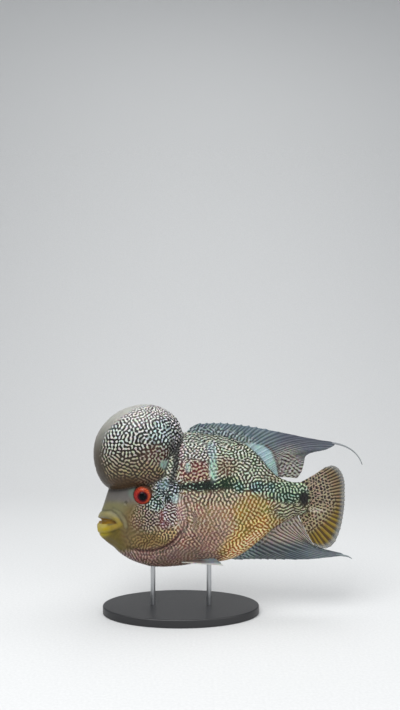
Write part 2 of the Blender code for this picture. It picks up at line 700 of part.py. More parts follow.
FINISHES = {
    "head": ((0.30, 0.26, 0.14), 0.4, 0.0),
    "lower_jaw": ((0.45, 0.35, 0.05), 0.4, 0.0),
    "nuchal_hump": ((0.33, 0.31, 0.27), 0.4, 0.0),
    "gill_cover": ((0.34, 0.27, 0.24), 0.35, 0.0),
    "torso": ((0.35, 0.27, 0.18), 0.4, 0.0),
    "tail_stem": ((0.27, 0.29, 0.20), 0.4, 0.0),
    "eye": ((0.55, 0.06, 0.02), 0.1, 0.0),
    "dorsal_fin": ((0.20, 0.25, 0.30), 0.4, 0.0),
    "anal_fin": ((0.25, 0.25, 0.24), 0.4, 0.0),
    "caudal_fin": ((0.33, 0.22, 0.08), 0.4, 0.0),
    "pectoral_fin": ((0.45, 0.36, 0.30), 0.4, 0.0),
    "pelvic_fin": ((0.20, 0.18, 0.18), 0.4, 0.0),
    "stand_base": ((0.05, 0.05, 0.055), 0.5, 0.0),
    "stand_rod": ((0.6, 0.6, 0.6), 0.3, 1.0),
}


def dress(parts):
    """Gives each part the finish that its name begins with."""
    for thing in parts.objects:
        key = next(k for k in FINISHES if thing.name.startswith(k))
        thing.data.materials.clear()
        thing.data.materials.append(material(thing.name, *FINISHES[key]))


def main():
    """Builds the whole model."""
    clear_scene()
    parts = bpy.data.collections.new("flowerhorn_cichlid")
    bpy.context.scene.collection.children.link(parts)
    build_head(parts)
    build_trunk(parts)
    build_middle_fins(parts)
    build_paired_fins(parts)
    build_stand(parts)
    dress(parts)


main()
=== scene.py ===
"""A flowerhorn cichlid as a life-size museum model: skin, scale coat, fins, eyes and stand.

Sizes are in millimetres on the fish: x back from the lips, y to its right side, z up from the
lateral midline. Meshes are made in metres in the model's frame.
"""

from __future__ import annotations

import logging
import math
from collections.abc import Callable, Sequence
from dataclasses import dataclass
from enum import Enum

import bmesh
import bpy
import numpy as np
from mathutils import Matrix, Vector, noise


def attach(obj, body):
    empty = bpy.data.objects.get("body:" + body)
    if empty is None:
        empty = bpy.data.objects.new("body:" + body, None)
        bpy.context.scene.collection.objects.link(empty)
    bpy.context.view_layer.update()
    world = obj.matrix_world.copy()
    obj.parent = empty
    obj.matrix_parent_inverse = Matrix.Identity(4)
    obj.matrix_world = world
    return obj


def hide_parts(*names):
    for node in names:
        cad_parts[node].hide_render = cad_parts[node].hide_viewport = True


log = logging.getLogger("flowerhorn")

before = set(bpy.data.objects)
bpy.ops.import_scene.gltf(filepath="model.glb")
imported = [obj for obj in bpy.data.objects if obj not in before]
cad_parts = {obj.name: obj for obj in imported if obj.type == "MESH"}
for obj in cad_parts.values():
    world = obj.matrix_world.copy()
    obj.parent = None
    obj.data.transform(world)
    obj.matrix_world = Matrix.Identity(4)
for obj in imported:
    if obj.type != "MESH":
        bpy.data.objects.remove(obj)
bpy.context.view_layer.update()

MM = 0.001
MIDDLE_X = 131.4  # of the whole length, back from the lips
MIDLINE_HEIGHT = 112.0  # of the lateral midline over the floor
BALANCE_X = 84.0  # of the middle of the base
SCALE_PITCH = 3.9  # from scale to scale, along the body and round it
LINE_PITCH = 3.6  # from pale line to pale line where a mark has no pitch of its own
HUMP_APART = 300.0  # how far from the trunk the hump is laid flat

Array = np.ndarray
Piece = bpy.types.Object
Socket = bpy.types.NodeSocket
Pairs = Sequence[tuple[float, float]]
Colour = tuple[float, float, float]
Place = tuple[float, float, float]
Root = Callable[[Array], tuple[Array, Array]]


class Side(Enum):
    """The two sides of the fish, as the sign of y."""

    LEFT = -1
    RIGHT = 1

    @property
    def word(self) -> str:
        """The side's name in a piece's name."""
        return self.name.lower()


class Layer(Enum):
    """What a surface is, which sets how its bump and gloss are built."""

    SKIN = "skin"
    SCALE = "scale"
    FIN = "fin"


def to_frame(points: Array) -> Array:
    """Moves rows of x, y and z from the fish's millimetres to the model frame's metres."""
    return (points + np.array([-MIDDLE_X, 0.0, MIDLINE_HEIGHT])) * MM


def to_fish(points: Array) -> Array:
    """Moves rows of x, y and z from the model frame's metres to the fish's millimetres."""
    return points / MM - np.array([-MIDDLE_X, 0.0, MIDLINE_HEIGHT])


def smooth(low: float, high: float, values: Array) -> Array:
    """A soft step of values from 0 at low to 1 at high, which may lie below low."""
    t = np.clip((values - low) / (high - low), 0.0, 1.0)
    return t * t * (3.0 - 2.0 * t)


def between(pairs: Pairs, where: Array | float) -> Array:
    """Smooth values through (position, value) pairs in order of position.

    Args:
        pairs: the pairs.
        where: positions at which the curve is read.

    Returns:
        The curve's values.
    """
    places = np.array([p[0] for p in pairs], float)
    values = np.array([p[1] for p in pairs], float)
    slopes = np.empty_like(values)
    slopes[1:-1] = (values[2:] - values[:-2]) / (places[2:] - places[:-2])
    slopes[0] = (values[1] - values[0]) / (places[1] - places[0])
    slopes[-1] = (values[-1] - values[-2]) / (places[-1] - places[-2])
    at = np.clip(np.asarray(where, float), places[0], places[-1])
    i = np.clip(np.searchsorted(places, at, side="right") - 1, 0, len(places) - 2)
    span = places[i + 1] - places[i]
    t = (at - places[i]) / span
    return (
        values[i] * (1 + 2 * t) * (1 - t) ** 2
        + slopes[i] * span * t * (1 - t) ** 2
        + values[i + 1] * t * t * (3 - 2 * t)
        + slopes[i + 1] * span * t * t * (t - 1)
    )


def linear(rgb: Colour) -> Array:
    """The shares of light of red, green and blue screen values of 0 to 255."""
    v = np.array(rgb, float) / 255.0
    return np.where(v <= 0.04045, v / 12.92, ((v + 0.055) / 1.055) ** 2.4)


def opaque(rgb: Colour) -> tuple[float, ...]:
    """The light of screen values, with full cover, as a shader takes it."""
    return (*linear(rgb), 1.0)


def line_distance(x: Array, z: Array, line: Pairs) -> Array:
    """How far points lie from a bent line in the side view.

    Args:
        x: distances back from the lips.
        z: heights over the midline.
        line: the line's corners.

    Returns:
        The distances in millimetres.
    """
    best = np.full(x.shape, 1e9)
    for (x0, z0), (x1, z1) in zip(line, line[1:]):
        dx, dz = x1 - x0, z1 - z0
        t = np.clip(((x - x0) * dx + (z - z0) * dz) / (dx * dx + dz * dz), 0.0, 1.0)
        best = np.minimum(best, np.hypot(x - x0 - t * dx, z - z0 - t * dz))
    return best


def inside_distance(x: Array, z: Array, outline: Pairs) -> Array:
    """How deep points lie inside a closed outline in the side view.

    Args:
        x: distances back from the lips.
        z: heights over the midline.
        outline: the outline's corners.

    Returns:
        Depths in millimetres, below 0 outside.
    """
    closed = list(outline) + [outline[0]]
    within = np.zeros(x.shape, bool)
    for (x0, z0), (x1, z1) in zip(closed, closed[1:]):
        if z0 == z1:
            continue
        crossing = (z0 > z) != (z1 > z)
        within ^= crossing & (x < x0 + (z - z0) * (x1 - x0) / (z1 - z0))
    return np.where(within, 1.0, -1.0) * line_distance(x, z, closed)


def rounded(outline: Pairs) -> list[tuple[float, float]]:
    """Rounds a closed outline by cutting its corners.

    Args:
        outline: the outline's corners.

    Returns:
        The rounder outline.
    """
    cut = []
    for (x0, z0), (x1, z1) in zip(outline, (*outline[1:], outline[0])):
        for share in (0.25, 0.75):
            cut.append((x0 * (1 - share) + x1 * share, z0 * (1 - share) + z1 * share))
    return cut


# Meshes


def points_of(mesh: bpy.types.Mesh) -> Array:
    """The mesh's vertices as rows of x, y and z."""
    return np.array([vertex.co for vertex in mesh.vertices], float)


def set_points(mesh: bpy.types.Mesh, points: Array) -> None:
    """Moves the mesh's vertices to these rows."""
    mesh.vertices.foreach_set("co", points.astype(np.float32).ravel())
    mesh.update()


def normals_of(mesh: bpy.types.Mesh) -> Array:
    """The mesh's vertex normals as rows."""
    return np.array([normal.vector for normal in mesh.vertex_normals], float)


def put_vectors(mesh: bpy.types.Mesh, name: str, rows: Array) -> None:
    """Stores a row of three for each vertex under a name."""
    made = mesh.attributes.new(name, "FLOAT_VECTOR", "POINT")
    made.data.foreach_set("vector", rows.astype(np.float32).ravel())


def put_colours(mesh: bpy.types.Mesh, name: str, rows: Array) -> None:
    """Stores a colour for each vertex.

    Args:
        mesh: what gets the attribute.
        name: the attribute's name.
        rows: one row of red, green and blue for each vertex.
    """
    made = mesh.attributes.new(name, "FLOAT_COLOR", "POINT")
    full = np.column_stack([rows, np.ones(len(rows))])
    made.data.foreach_set("color", full.astype(np.float32).ravel())


def in_scene(name: str, data: bpy.types.ID) -> Piece:
    """Puts a mesh, light or camera into the scene as an object.

    Args:
        name: the object's name.
        data: what it shows.

    Returns:
        The object.
    """
    thing = bpy.data.objects.new(name, data)
    bpy.context.scene.collection.objects.link(thing)
    return thing


def finished(name: str, shape: bmesh.types.BMesh) -> Piece:
    """Turns a bmesh into an object of the scene with smooth faces that point out.

    Args:
        name: the object's name.
        shape: the bmesh, which is freed.

    Returns:
        The object.
    """
    bmesh.ops.recalc_face_normals(shape, faces=shape.faces)
    for face in shape.faces:
        face.smooth = True
    mesh = bpy.data.meshes.new(name)
    shape.to_mesh(mesh)
    shape.free()
    return in_scene(name, mesh)


def apply_all(thing: Piece) -> Piece:
    """Replaces an object's mesh by what its modifiers make of it.

    Args:
        thing: the object.

    Returns:
        The same object.
    """
    graph = bpy.context.evaluated_depsgraph_get()
    made = bpy.data.meshes.new_from_object(thing.evaluated_get(graph))
    thing.modifiers.clear()
    thing.data = made
    return thing


def cut_or_join(thing: Piece, others: Sequence[Piece], how: str) -> None:
    """Joins or cuts an object by closed meshes, and removes those.

    Args:
        thing: the object that is changed.
        others: the closed meshes.
        how: UNION or DIFFERENCE.
    """
    tools = bpy.data.collections.new("tools")
    for other in others:
        tools.objects.link(other)
    step = thing.modifiers.new("step", "BOOLEAN")
    step.operation = how
    step.operand_type = "COLLECTION"
    step.collection = tools
    step.solver = "EXACT"
    apply_all(thing)
    for other in others:
        bpy.data.objects.remove(other)
    bpy.data.collections.remove(tools)


def swept(name: str, path: Array, radii: Sequence[float], sides: int) -> Piece:
    """A closed round bar along a path.

    Args:
        name: the object's name.
        path: rows of points on the fish.
        radii: the radius at each point, in millimetres.
        sides: how many sides the bar has.

    Returns:
        The bar.
    """
    places = [Vector(p) for p in to_frame(path)]
    shape = bmesh.new()
    ring = bmesh.ops.create_circle(shape, segments=sides, radius=1.0)["verts"]
    flat = [v.co.copy() for v in ring]
    edges = list(shape.edges)
    first = ring
    for i, place in enumerate(places):
        if i:
            pushed = bmesh.ops.extrude_edge_only(shape, edges=edges)["geom"]
            ring = [g for g in pushed if isinstance(g, bmesh.types.BMVert)]
            edges = [g for g in pushed if isinstance(g, bmesh.types.BMEdge) and g.is_boundary]
            edges = [e for e in edges if e.verts[0] in ring and e.verts[1] in ring]
        ahead = places[min(i + 1, len(places) - 1)] - places[max(i - 1, 0)]
        turn = ahead.to_track_quat("Z", "Y").to_matrix()
        for vertex, spoke in zip(ring, flat):
            vertex.co = place + turn @ spoke * radii[i] * MM
    bmesh.ops.contextual_create(shape, geom=edges)
    bmesh.ops.contextual_create(shape, geom=first)
    return finished(name, shape)


def ball(name: str, centre: Sequence[float], radii: Sequence[float], turn: float, segments: int) -> Piece:
    """An ellipsoid with its poles across the fish.

    Args:
        name: the object's name.
        centre: its middle on the fish.
        radii: its three radii in millimetres.
        turn: its turn about the upright, in radians.
        segments: how many sides it has.

    Returns:
        The ellipsoid.
    """
    shape = bmesh.new()
    bmesh.ops.create_uvsphere(shape, u_segments=segments, v_segments=segments // 2, radius=1.0)
    bmesh.ops.rotate(shape, verts=shape.verts, matrix=Matrix.Rotation(math.pi / 2, 3, "X"))
    bmesh.ops.scale(shape, verts=shape.verts, vec=Vector(radii) * MM)
    bmesh.ops.rotate(shape, verts=shape.verts, matrix=Matrix.Rotation(turn, 3, "Z"))
    move = Vector(to_frame(np.array([centre], float))[0])
    bmesh.ops.translate(shape, verts=shape.verts, vec=move)
    return finished(name, shape)


# Forms of the fish


@dataclass(frozen=True)
class Trunk:
    """The fish without fins or hump, as sections along its length."""

    stations: tuple[tuple[float, float, float, float], ...] = (
        (1.0, -16.5, -31.5, 5.0),
        (3.0, -12.5, -35.0, 7.5),
        (6.0, -6.5, -38.0, 10.0),
        (9.0, 3.0, -40.5, 12.0),
        (12.0, 12.0, -43.0, 13.6),
        (17.0, 19.0, -46.5, 15.8),
        (24.0, 26.0, -53.0, 18.5),
        (36.0, 36.0, -60.0, 21.5),
        (52.0, 47.0, -64.8, 24.5),
        (69.0, 60.0, -65.5, 26.5),
        (86.0, 67.0, -64.0, 27.5),
        (104.0, 66.5, -61.2, 27.5),
        (124.0, 64.0, -60.0, 26.0),
        (139.0, 60.0, -56.0, 23.0),
        (151.0, 53.5, -48.5, 19.5),
        (162.0, 43.5, -40.0, 15.5),
        (171.0, 32.5, -32.0, 12.5),
        (181.0, 23.0, -24.5, 9.5),
        (194.0, 18.0, -17.5, 7.0),
        (206.0, 17.0, -14.0, 5.0),
        (212.0, 13.5, -11.5, 3.0),
    )
    belly_fullness: float = 0.10
    roundness: float = 0.92

    def column(self, index: int) -> list[tuple[float, float]]:
        """One measure of the stations against the distance from the lips."""
        return [(row[0], row[index]) for row in self.stations]

    def back(self, x: Array | float) -> Array:
        """The height of the back."""
        return between(self.column(1), x)

    def belly(self, x: Array | float) -> Array:
        """The height of the belly."""
        return between(self.column(2), x)

    def point(self, x: Array, angle: Array) -> Array:
        """Points of the skin.

        Args:
            x: distances back from the lips.
            angle: 0 on the back and pi on the belly, with the right side between them.

        Returns:
            Rows of x, y and z.
        """
        top, bottom = self.back(x), self.belly(x)
        across, up = np.sin(angle), np.cos(angle)
        half = between(self.column(3), x) * (1 - self.belly_fullness * up)
        y = half * np.sign(across) * np.abs(across) ** self.roundness
        return np.stack([x + 0 * angle, y, (top + bottom) / 2 + (top - bottom) / 2 * up], -1)

    def sunk(self, points: Array) -> Array:
        """How far points lie inwards of the skin, measured across.

        Args:
            points: rows on the fish.

        Returns:
            The depths in millimetres, below 0 outside.
        """
        x, y, z = points.T
        top, bottom = self.back(x), self.belly(x)
        up = np.clip((z - (top + bottom) / 2) / ((top - bottom) / 2), -1.0, 1.0)
        half = between(self.column(3), x) * (1 - self.belly_fullness * up)
        return half * np.sqrt(1 - up**2) ** self.roundness - np.abs(y)

    def side_at(self, x: float, z: float) -> float:
        """How far out the skin of the right side lies.

        Args:
            x: the distance back from the lips.
            z: the height over the midline.

        Returns:
            The distance across.
        """
        top, bottom = float(self.back(x)), float(self.belly(x))
        up = max(-1.0, min(1.0, (z - (top + bottom) / 2) / ((top - bottom) / 2)))
        return float(self.point(np.array(x), np.array(math.acos(up)))[1])

    def girth(self, x: Array, y: Array, z: Array) -> Array:
        """Distance round the body from its side, rising towards the back.

        Args:
            x: distances back from the lips.
            y: distances across.
            z: heights over the midline.

        Returns:
            The distances in millimetres.
        """
        half = between(self.column(3), x)
        middle = (self.back(x) + self.belly(x)) / 2
        tall = (self.back(x) - self.belly(x)) / 2
        rise = (z - middle) / tall
        turned_in = np.maximum(0.0, half - np.abs(y)) * 0.6
        return z - middle * rise**2 + np.sign(rise) * turned_in * smooth(0.2, 0.9, np.abs(rise))

    def form(self, name: str, around: int = 80, along: int = 150) -> Piece:
        """The closed form of the whole trunk.

        Args:
            name: the object's name.
            around: points round each section.
            along: how many sections.

        Returns:
            The form.
        """
        shape = bmesh.new()
        bmesh.ops.create_uvsphere(shape, u_segments=around, v_segments=along, radius=1.0)
        co = np.array([v.co for v in shape.verts])
        share = np.arccos(np.clip(co[:, 2], -1, 1)) / math.pi
        first, last = self.stations[0][0], self.stations[-1][0]
        step = 1.0 / along
        x = first + (last - first) * np.clip((share - step) / (1 - 2 * step), 0, 1)
        rows = self.point(x, np.arctan2(co[:, 0], co[:, 1]))
        for at_pole, nudge in ((share < step / 2, -1.2), (share > 1 - step / 2, 1.5)):
            rows[at_pole, 0] += nudge
            rows[at_pole, 1] = 0.0
            rows[at_pole, 2] = ((self.back(x) + self.belly(x)) / 2)[at_pole]
        for vertex, row in zip(shape.verts, to_frame(rows)):
            vertex.co = row
        return finished(name, shape)


@dataclass(frozen=True)
class Hump:
    """The nuchal hump on the forehead."""

    centre: Place = (42.0, 0.0, 52.3)
    half_width: float = 34.0
    power: float = 2.3
    outline: Pairs = (
        (-13.0, 33.5), (0.0, 38.5), (21.0, 45.7), (47.0, 46.8), (90.0, 42.8), (119.0, 41.5),
        (146.0, 42.3), (170.0, 44.2), (188.0, 45.4), (206.0, 47.5), (221.0, 49.5), (233.0, 49.5),
        (245.0, 44.8), (266.0, 39.4), (290.0, 40.0), (314.0, 40.5), (332.0, 36.5), (347.0, 33.5),
    )

    def reach(self, along: Array, up: Array) -> tuple[Array, Array]:
        """The outline's radius in a direction of the side view, and the angle from -13 to 347 degrees."""
        angle = (np.degrees(np.arctan2(up, along)) + 13.0) % 360.0 - 13.0
        return between(self.outline, angle), angle

    def level(self, points: Array) -> Array:
        """How far out points lie: 1 on the hump's surface, less inside it.

        Args:
            points: rows on the fish.

        Returns:
            The levels.
        """
        away = points - np.array(self.centre)
        radius, _ = self.reach(away[:, 0], away[:, 2])
        flat = np.hypot(away[:, 0], away[:, 2]) / radius
        across = np.abs(away[:, 1]) / self.half_width
        return (flat**self.power + across**self.power) ** (1 / self.power)

    def form(self, name: str, segments: int = 96) -> Piece:
        """The closed form of the hump.

        Args:
            name: the object's name.
            segments: how many sides it has.

        Returns:
            The form.
        """
        shape = bmesh.new()
        bmesh.ops.create_uvsphere(shape, u_segments=segments, v_segments=segments // 2, radius=1.0)
        bmesh.ops.rotate(shape, verts=shape.verts, matrix=Matrix.Rotation(math.pi / 2, 3, "X"))
        co = np.array([v.co for v in shape.verts])
        radius, _ = self.reach(co[:, 0], co[:, 2])
        flat = np.hypot(co[:, 0], co[:, 2])
        swell = (flat**self.power + np.abs(co[:, 1]) ** self.power) ** (-1 / self.power)
        rows = np.stack([co[:, 0] * radius, co[:, 1] * self.half_width, co[:, 2] * radius], -1)
        rows = rows * swell[:, None] + np.array(self.centre)
        for vertex, row in zip(shape.verts, to_frame(rows)):
            vertex.co = row
        return finished(name, shape)


@dataclass(frozen=True)
class Viewpoint:
    """The place from which the fish's side is looked at, against which its markings are laid out."""

    x: float = 103.0
    height: float = 145.0  # over the midline
    away: float = 750.0  # from the middle plane

    def project(self, points: Array) -> tuple[Array, Array]:
        """Where points of either side show on the middle plane.

        Args:
            points: rows on the fish.

        Returns:
            The distances back from the lips and the heights at which they show.
        """
        near = self.away / (self.away - np.abs(points[..., 1]))
        x = self.x + (points[..., 0] - self.x) * near
        return x, self.height + (points[..., 2] - self.height) * near

    def back_onto(self, x: float, z: float, sink: float, share: float) -> Place:
        """The point of the trunk's right side that shows at a place.

        Args:
            x: where it shows, back from the lips.
            z: and over the midline.
            sink: how far the point lies under the skin.
            share: of its distance across that it keeps.

        Returns:
            The point.
        """
        at, y = (x, z), 0.0
        for _ in range(3):
            y = (TRUNK.side_at(*at) - sink) * share
            far = 1.0 - y / self.away
            at = (self.x + (x - self.x) * far, self.height + (z - self.height) * far)
        return at[0], y, at[1]


TRUNK = Trunk()
HUMP = Hump()
VIEW = Viewpoint()


# Markings


@dataclass(frozen=True)
class Mark:
    """One area of the skin that has its own ground, line colour and weave of lines.

    x and z are its middle, along and up its half sizes, tilt its turn in degrees and soft
    the share of the half sizes over which it fades. cover 1 hides what lies under it.
    """

    name: str
    x: float
    z: float
    along: float
    up: float
    ground: Colour
    lines: Colour
    tilt: float = 0.0
    soft: float = 0.5
    cover: float = 1.0
    share: float = 0.0  # how far the lines are thinned, or below 0 thickened
    grain: float = 0.0  # how strictly the lines keep one direction
    course: float = 90.0  # that direction in degrees from level
    locked: float = 0.0  # how far the lines keep to one pearl on each scale
    pitch: float = LINE_PITCH

    def weight(self, x: Array, z: Array) -> Array:
        """How much the mark covers at these places of the side view.

        Args:
            x: distances back from the lips.
            z: heights over the midline.

        Returns:
            The weights, from 0 to its cover.
        """
        a = math.radians(self.tilt)
        u = ((x - self.x) * math.cos(a) + (z - self.z) * math.sin(a)) / self.along
        v = (-(x - self.x) * math.sin(a) + (z - self.z) * math.cos(a)) / self.up
        return self.cover * smooth(1.0 + self.soft / 2, 1.0 - self.soft / 2, np.hypot(u, v))


@dataclass
class Painted:
    """What the markings give for each vertex."""

    ground: Array
    lines: Array
    share: Array
    grain: Array
    course: Array
    locked: Array
    pitch: Array

    @staticmethod
    def plain(count: int, ground: Colour, lines: Colour) -> Painted:
        """An even coat of one ground with one kind of lines.

        Args:
            count: how many vertices it has.
            ground: the ground's colour.
            lines: the lines' colour.

        Returns:
            The coat.
        """
        zero = np.zeros(count)
        return Painted(
            np.tile(linear(ground), (count, 1)), np.tile(linear(lines), (count, 1)),
            zero.copy(), zero.copy(), zero + math.pi / 2, zero.copy(), zero + LINE_PITCH,
        )

    def lay(self, mark: Mark, weight: Array) -> None:
        """Lays a mark over what is there.

        Args:
            mark: the mark.
            weight: how much it covers at each vertex.
        """
        w = np.clip(weight, 0.0, 1.0)
        self.ground += (linear(mark.ground) - self.ground) * w[:, None]
        self.lines += (linear(mark.lines) - self.lines) * w[:, None]
        self.share += (mark.share - self.share) * w
        self.grain += (mark.grain - self.grain) * w
        self.course += (math.radians(mark.course) - self.course) * w
        self.locked += (mark.locked - self.locked) * w
        self.pitch += (mark.pitch - self.pitch) * w

    def wash(self, name: str, weight: Array, ground: Colour, lines: Colour, **weave: float) -> None:
        """Lays colours over what is there as far as weights say, with a weave as in a mark."""
        self.lay(Mark(name, 0.0, 0.0, 1.0, 1.0, ground, lines, **weave), weight)

    def contrast(self) -> Array:
        """How far the lines stand out from the ground, from 0 to 1 at a sixth of full light."""
        return np.clip((self.lines - self.ground).mean(1) * 6.0, 0.0, 1.0)

    def deepen(self, ground: float, lines: float, plain: float, thin: float) -> None:
        """Darkens the ground more than the lines, and thins the lines.

        Args:
            ground: the factor for patterned ground.
            lines: the factor for its lines.
            plain: the factor where ground and lines are alike.
            thin: how far the lines are thinned.
        """
        strong = self.contrast()
        self.ground *= (plain + (ground - plain) * strong)[:, None]
        self.lines *= (plain + (lines - plain) * strong)[:, None]
        self.share += thin * strong

    def shade(self, factor: Array) -> None:
        """Darkens or lightens ground and lines alike."""
        self.ground *= factor[:, None]
        self.lines *= factor[:, None]


HEAD_AND_BODY: tuple[Mark, ...] = (
    Mark("flank", 120, -18, 60, 34, (154, 116, 84), (210, 188, 160), share=0.02, grain=0.35, locked=0.8,
         soft=0.9),
    Mark("back", 120, 42, 70, 34, (62, 64, 46), (196, 202, 184), soft=0.7, pitch=3.35),
    Mark("nape", 98, 50, 20, 20, (58, 54, 46), (202, 202, 192), soft=0.8, pitch=3.1),
    Mark("rose", 83, 51, 3.6, 14, (88, 54, 58), (190, 166, 172), soft=1.0, cover=0.8, pitch=3.2),
    Mark("ridge", 125, 61, 50, 6, (50, 54, 46), (164, 172, 156), grain=0.55, course=0, soft=1.0, pitch=3.3),
    Mark("maroon", 98, 28, 17, 11, (98, 36, 26), (178, 158, 138), soft=0.9, locked=0.2, grain=0.2, course=0),
    Mark("brown_side", 128, 33, 12, 9, (74, 48, 30), (168, 158, 134), soft=1.0, pitch=3.4),
    Mark("upper_flank", 150, 12, 22, 12, (56, 54, 34), (200, 204, 180), soft=1.0, pitch=3.4),
    Mark("under_band", 120, 2, 44, 7, (100, 84, 60), (196, 184, 158), soft=1.0, grain=0.2, locked=0.6,
         pitch=3.5),
    Mark("low_flank", 110, -46, 32, 20, (124, 86, 68), (190, 158, 138), grain=0.25, locked=0.6, soft=0.9),
    Mark("belly", 84, -60, 46, 14, (124, 96, 84), (150, 126, 112), grain=0.2, soft=1.0),
    Mark("gold_flank", 160, -16, 24, 22, (146, 110, 34), (194, 174, 122), grain=0.3, locked=0.6, soft=0.8,
         pitch=3.7),
    Mark("gold_belly", 148, -36, 30, 11, (156, 108, 24), (226, 200, 136), tilt=36, grain=0.2, soft=0.6),
    Mark("orange_edge", 146, -46, 30, 5.5, (176, 102, 28), (240, 218, 166), tilt=37, share=-0.03, soft=0.8),
    Mark("stem_top", 190, 8, 26, 12, (22, 50, 28), (176, 196, 168), soft=0.8, pitch=3.3),
    Mark("stem_low", 194, -10, 20, 9, (68, 62, 36), (184, 182, 154), grain=0.4, course=0, soft=0.9,
         pitch=3.3),
    Mark("band_front", 96, 13, 15, 4.4, (0, 22, 12), (158, 190, 168), share=0.115, soft=0.7, pitch=3.2),
    Mark("band", 113, 14.5, 14, 5.0, (0, 24, 14), (160, 186, 160), share=0.145, soft=0.8, pitch=3.3),
    Mark("band_rear", 131, 17, 12, 6, (8, 42, 16), (172, 186, 150), share=0.05, soft=0.9, pitch=3.2),
    Mark("blotch_1", 142, 13, 5.5, 5.5, (0, 48, 33), (166, 200, 180), share=0.05, soft=0.9, pitch=3.2),
    Mark("blotch_2", 160, 13, 9, 6, (0, 38, 38), (172, 204, 194), share=0.05, soft=0.8, pitch=3.2),
    Mark("blotch_3", 174, 13, 4.5, 5, (0, 48, 40), (172, 204, 194), share=0.04, soft=0.9, pitch=3.2),
    Mark("blotch_4", 191, 3, 9.5, 6.5, (0, 44, 18), (156, 182, 160), tilt=-14, share=0.05, soft=0.9,
         pitch=3.2),
    Mark("tail_spot", 207.0, 1.4, 4.4, 6.8, (7, 5, 3), (30, 28, 28), share=0.2, soft=0.8),
    Mark("bar", 116.2, 34, 4.0, 15.5, (108, 136, 120), (156, 184, 168), soft=0.6, share=-0.06),
    Mark("bar_head", 115, 50, 4.4, 7, (78, 96, 104), (160, 178, 184), soft=1.0, cover=0.7, pitch=3.2),
    Mark("fleck", 91, 32.5, 3.0, 5.0, (116, 138, 122), (168, 190, 172), soft=0.8, share=-0.08),
)

FACE: tuple[Mark, ...] = (
    Mark("snout", 18, -4, 26, 30, (108, 104, 92), (108, 104, 92)),
    Mark("snout_top", 26, 4, 16, 9, (106, 102, 98), (106, 102, 98), soft=0.9),
    Mark("snout_rim", 17, -10, 20, 8, (120, 116, 80), (120, 116, 80), soft=0.9),
    Mark("jaw", 20, -38, 26, 16, (98, 82, 2), (102, 86, 6), soft=0.7),
    Mark("cheek_plain", 36, -28, 12, 24, (106, 86, 48), (112, 94, 56), soft=0.9),
    Mark("cheek", 51, -16, 13, 14, (44, 30, 20), (158, 144, 130), soft=0.6, pitch=2.55),
    Mark("cheek_front", 41, -20, 7, 12, (84, 62, 38), (148, 130, 104), soft=1.0, cover=0.8, pitch=2.5),
    Mark("cheek_low", 56, -41, 22, 9, (92, 68, 28), (140, 116, 70), tilt=6, soft=0.9, pitch=2.6),
    Mark("opercle", 72, -13, 11, 18, (70, 44, 40), (204, 194, 190), soft=0.9, grain=0.3, course=0,
         pitch=2.75, share=0.015),
    Mark("opercle_low", 71, -33, 10, 7, (84, 58, 32), (182, 158, 112), soft=0.8, pitch=2.9),
    Mark("preopercle", 64.5, -17, 2.0, 9, (116, 44, 40), (160, 128, 120), soft=1.0, cover=0.8, pitch=2.8),
    Mark("opercle_wine", 68, -25, 5.5, 4.5, (84, 32, 38), (170, 146, 148), soft=1.0, cover=0.8, pitch=2.9),
    Mark("temple", 70, 10, 14, 12, (0, 20, 20), (174, 188, 190), soft=0.6, grain=0.15, course=0,
         pitch=2.95, share=0.05),
    Mark("temple_patch", 67, 15, 5.5, 5.0, (86, 104, 114), (134, 152, 162), soft=0.9, cover=0.75, pitch=3.0),
    Mark("behind_eye", 59, -3, 9, 8, (0, 36, 29), (180, 198, 190), soft=0.8, pitch=2.8, share=0.028),
    Mark("ear_patch", 80.0, 0.5, 4.8, 4.4, (140, 166, 158), (178, 202, 194), soft=0.8),
    Mark("brow", 36.0, 7.5, 4.5, 6.0, (112, 130, 116), (112, 130, 116), soft=1.0, cover=0.8),
    Mark("throat", 44, -58, 26, 8, (104, 76, 70), (166, 140, 132), soft=0.8, grain=0.6, pitch=2.8),
    Mark("membrane", 84.5, -15, 4.0, 17, (140, 112, 102), (192, 168, 158), tilt=4, soft=0.9, pitch=3.0),
    Mark("shoulder", 92, -12, 9, 19, (124, 100, 86), (186, 166, 150), soft=1.0, cover=0.75, pitch=2.9),
    Mark("breast", 70, -57, 22, 10, (120, 94, 84), (152, 126, 114), soft=0.9, grain=0.5, pitch=3.2),
)

KOK: tuple[Mark, ...] = (
    Mark("kok", 42, 52, 60, 60, (24, 26, 21), (214, 218, 212), soft=0.2, share=0.008, pitch=3.5),
    Mark("kok_top", 52, 92, 34, 16, (84, 80, 76), (212, 208, 204), soft=1.0, share=-0.01, pitch=3.2),
    Mark("kok_rear", 80, 62, 18, 30, (20, 22, 22), (222, 218, 218), soft=1.0, pitch=4.3, share=0.01),
    Mark("kok_furrow", 68.5, 57, 5.0, 22, (2, 16, 12), (196, 208, 198), tilt=8, grain=0.35, course=80,
         share=0.07, soft=1.0, cover=0.9),
    Mark("kok_teal", 64, 68, 12, 12, (9, 26, 29), (196, 214, 212), soft=1.0, pitch=3.4),
    Mark("kok_rust", 60, 46, 13, 9, (80, 38, 22), (176, 170, 150), soft=1.0, cover=0.8, pitch=3.3),
    Mark("kok_base", 26, 13, 30, 11, (72, 50, 28), (88, 66, 40), soft=0.8),
    Mark("kok_base_rear", 58, 17, 16, 7, (70, 42, 32), (132, 112, 96), soft=1.0, cover=0.8, pitch=3.1),
    Mark("kok_spot", 67, 35.5, 4.4, 4.6, (112, 136, 126), (150, 174, 162), soft=0.8, share=-0.08),
    Mark("kok_hem", 76, 44, 3.6, 26, (16, 18, 16), (112, 112, 106), tilt=6, soft=0.9, cover=0.8, pitch=3.0),
)


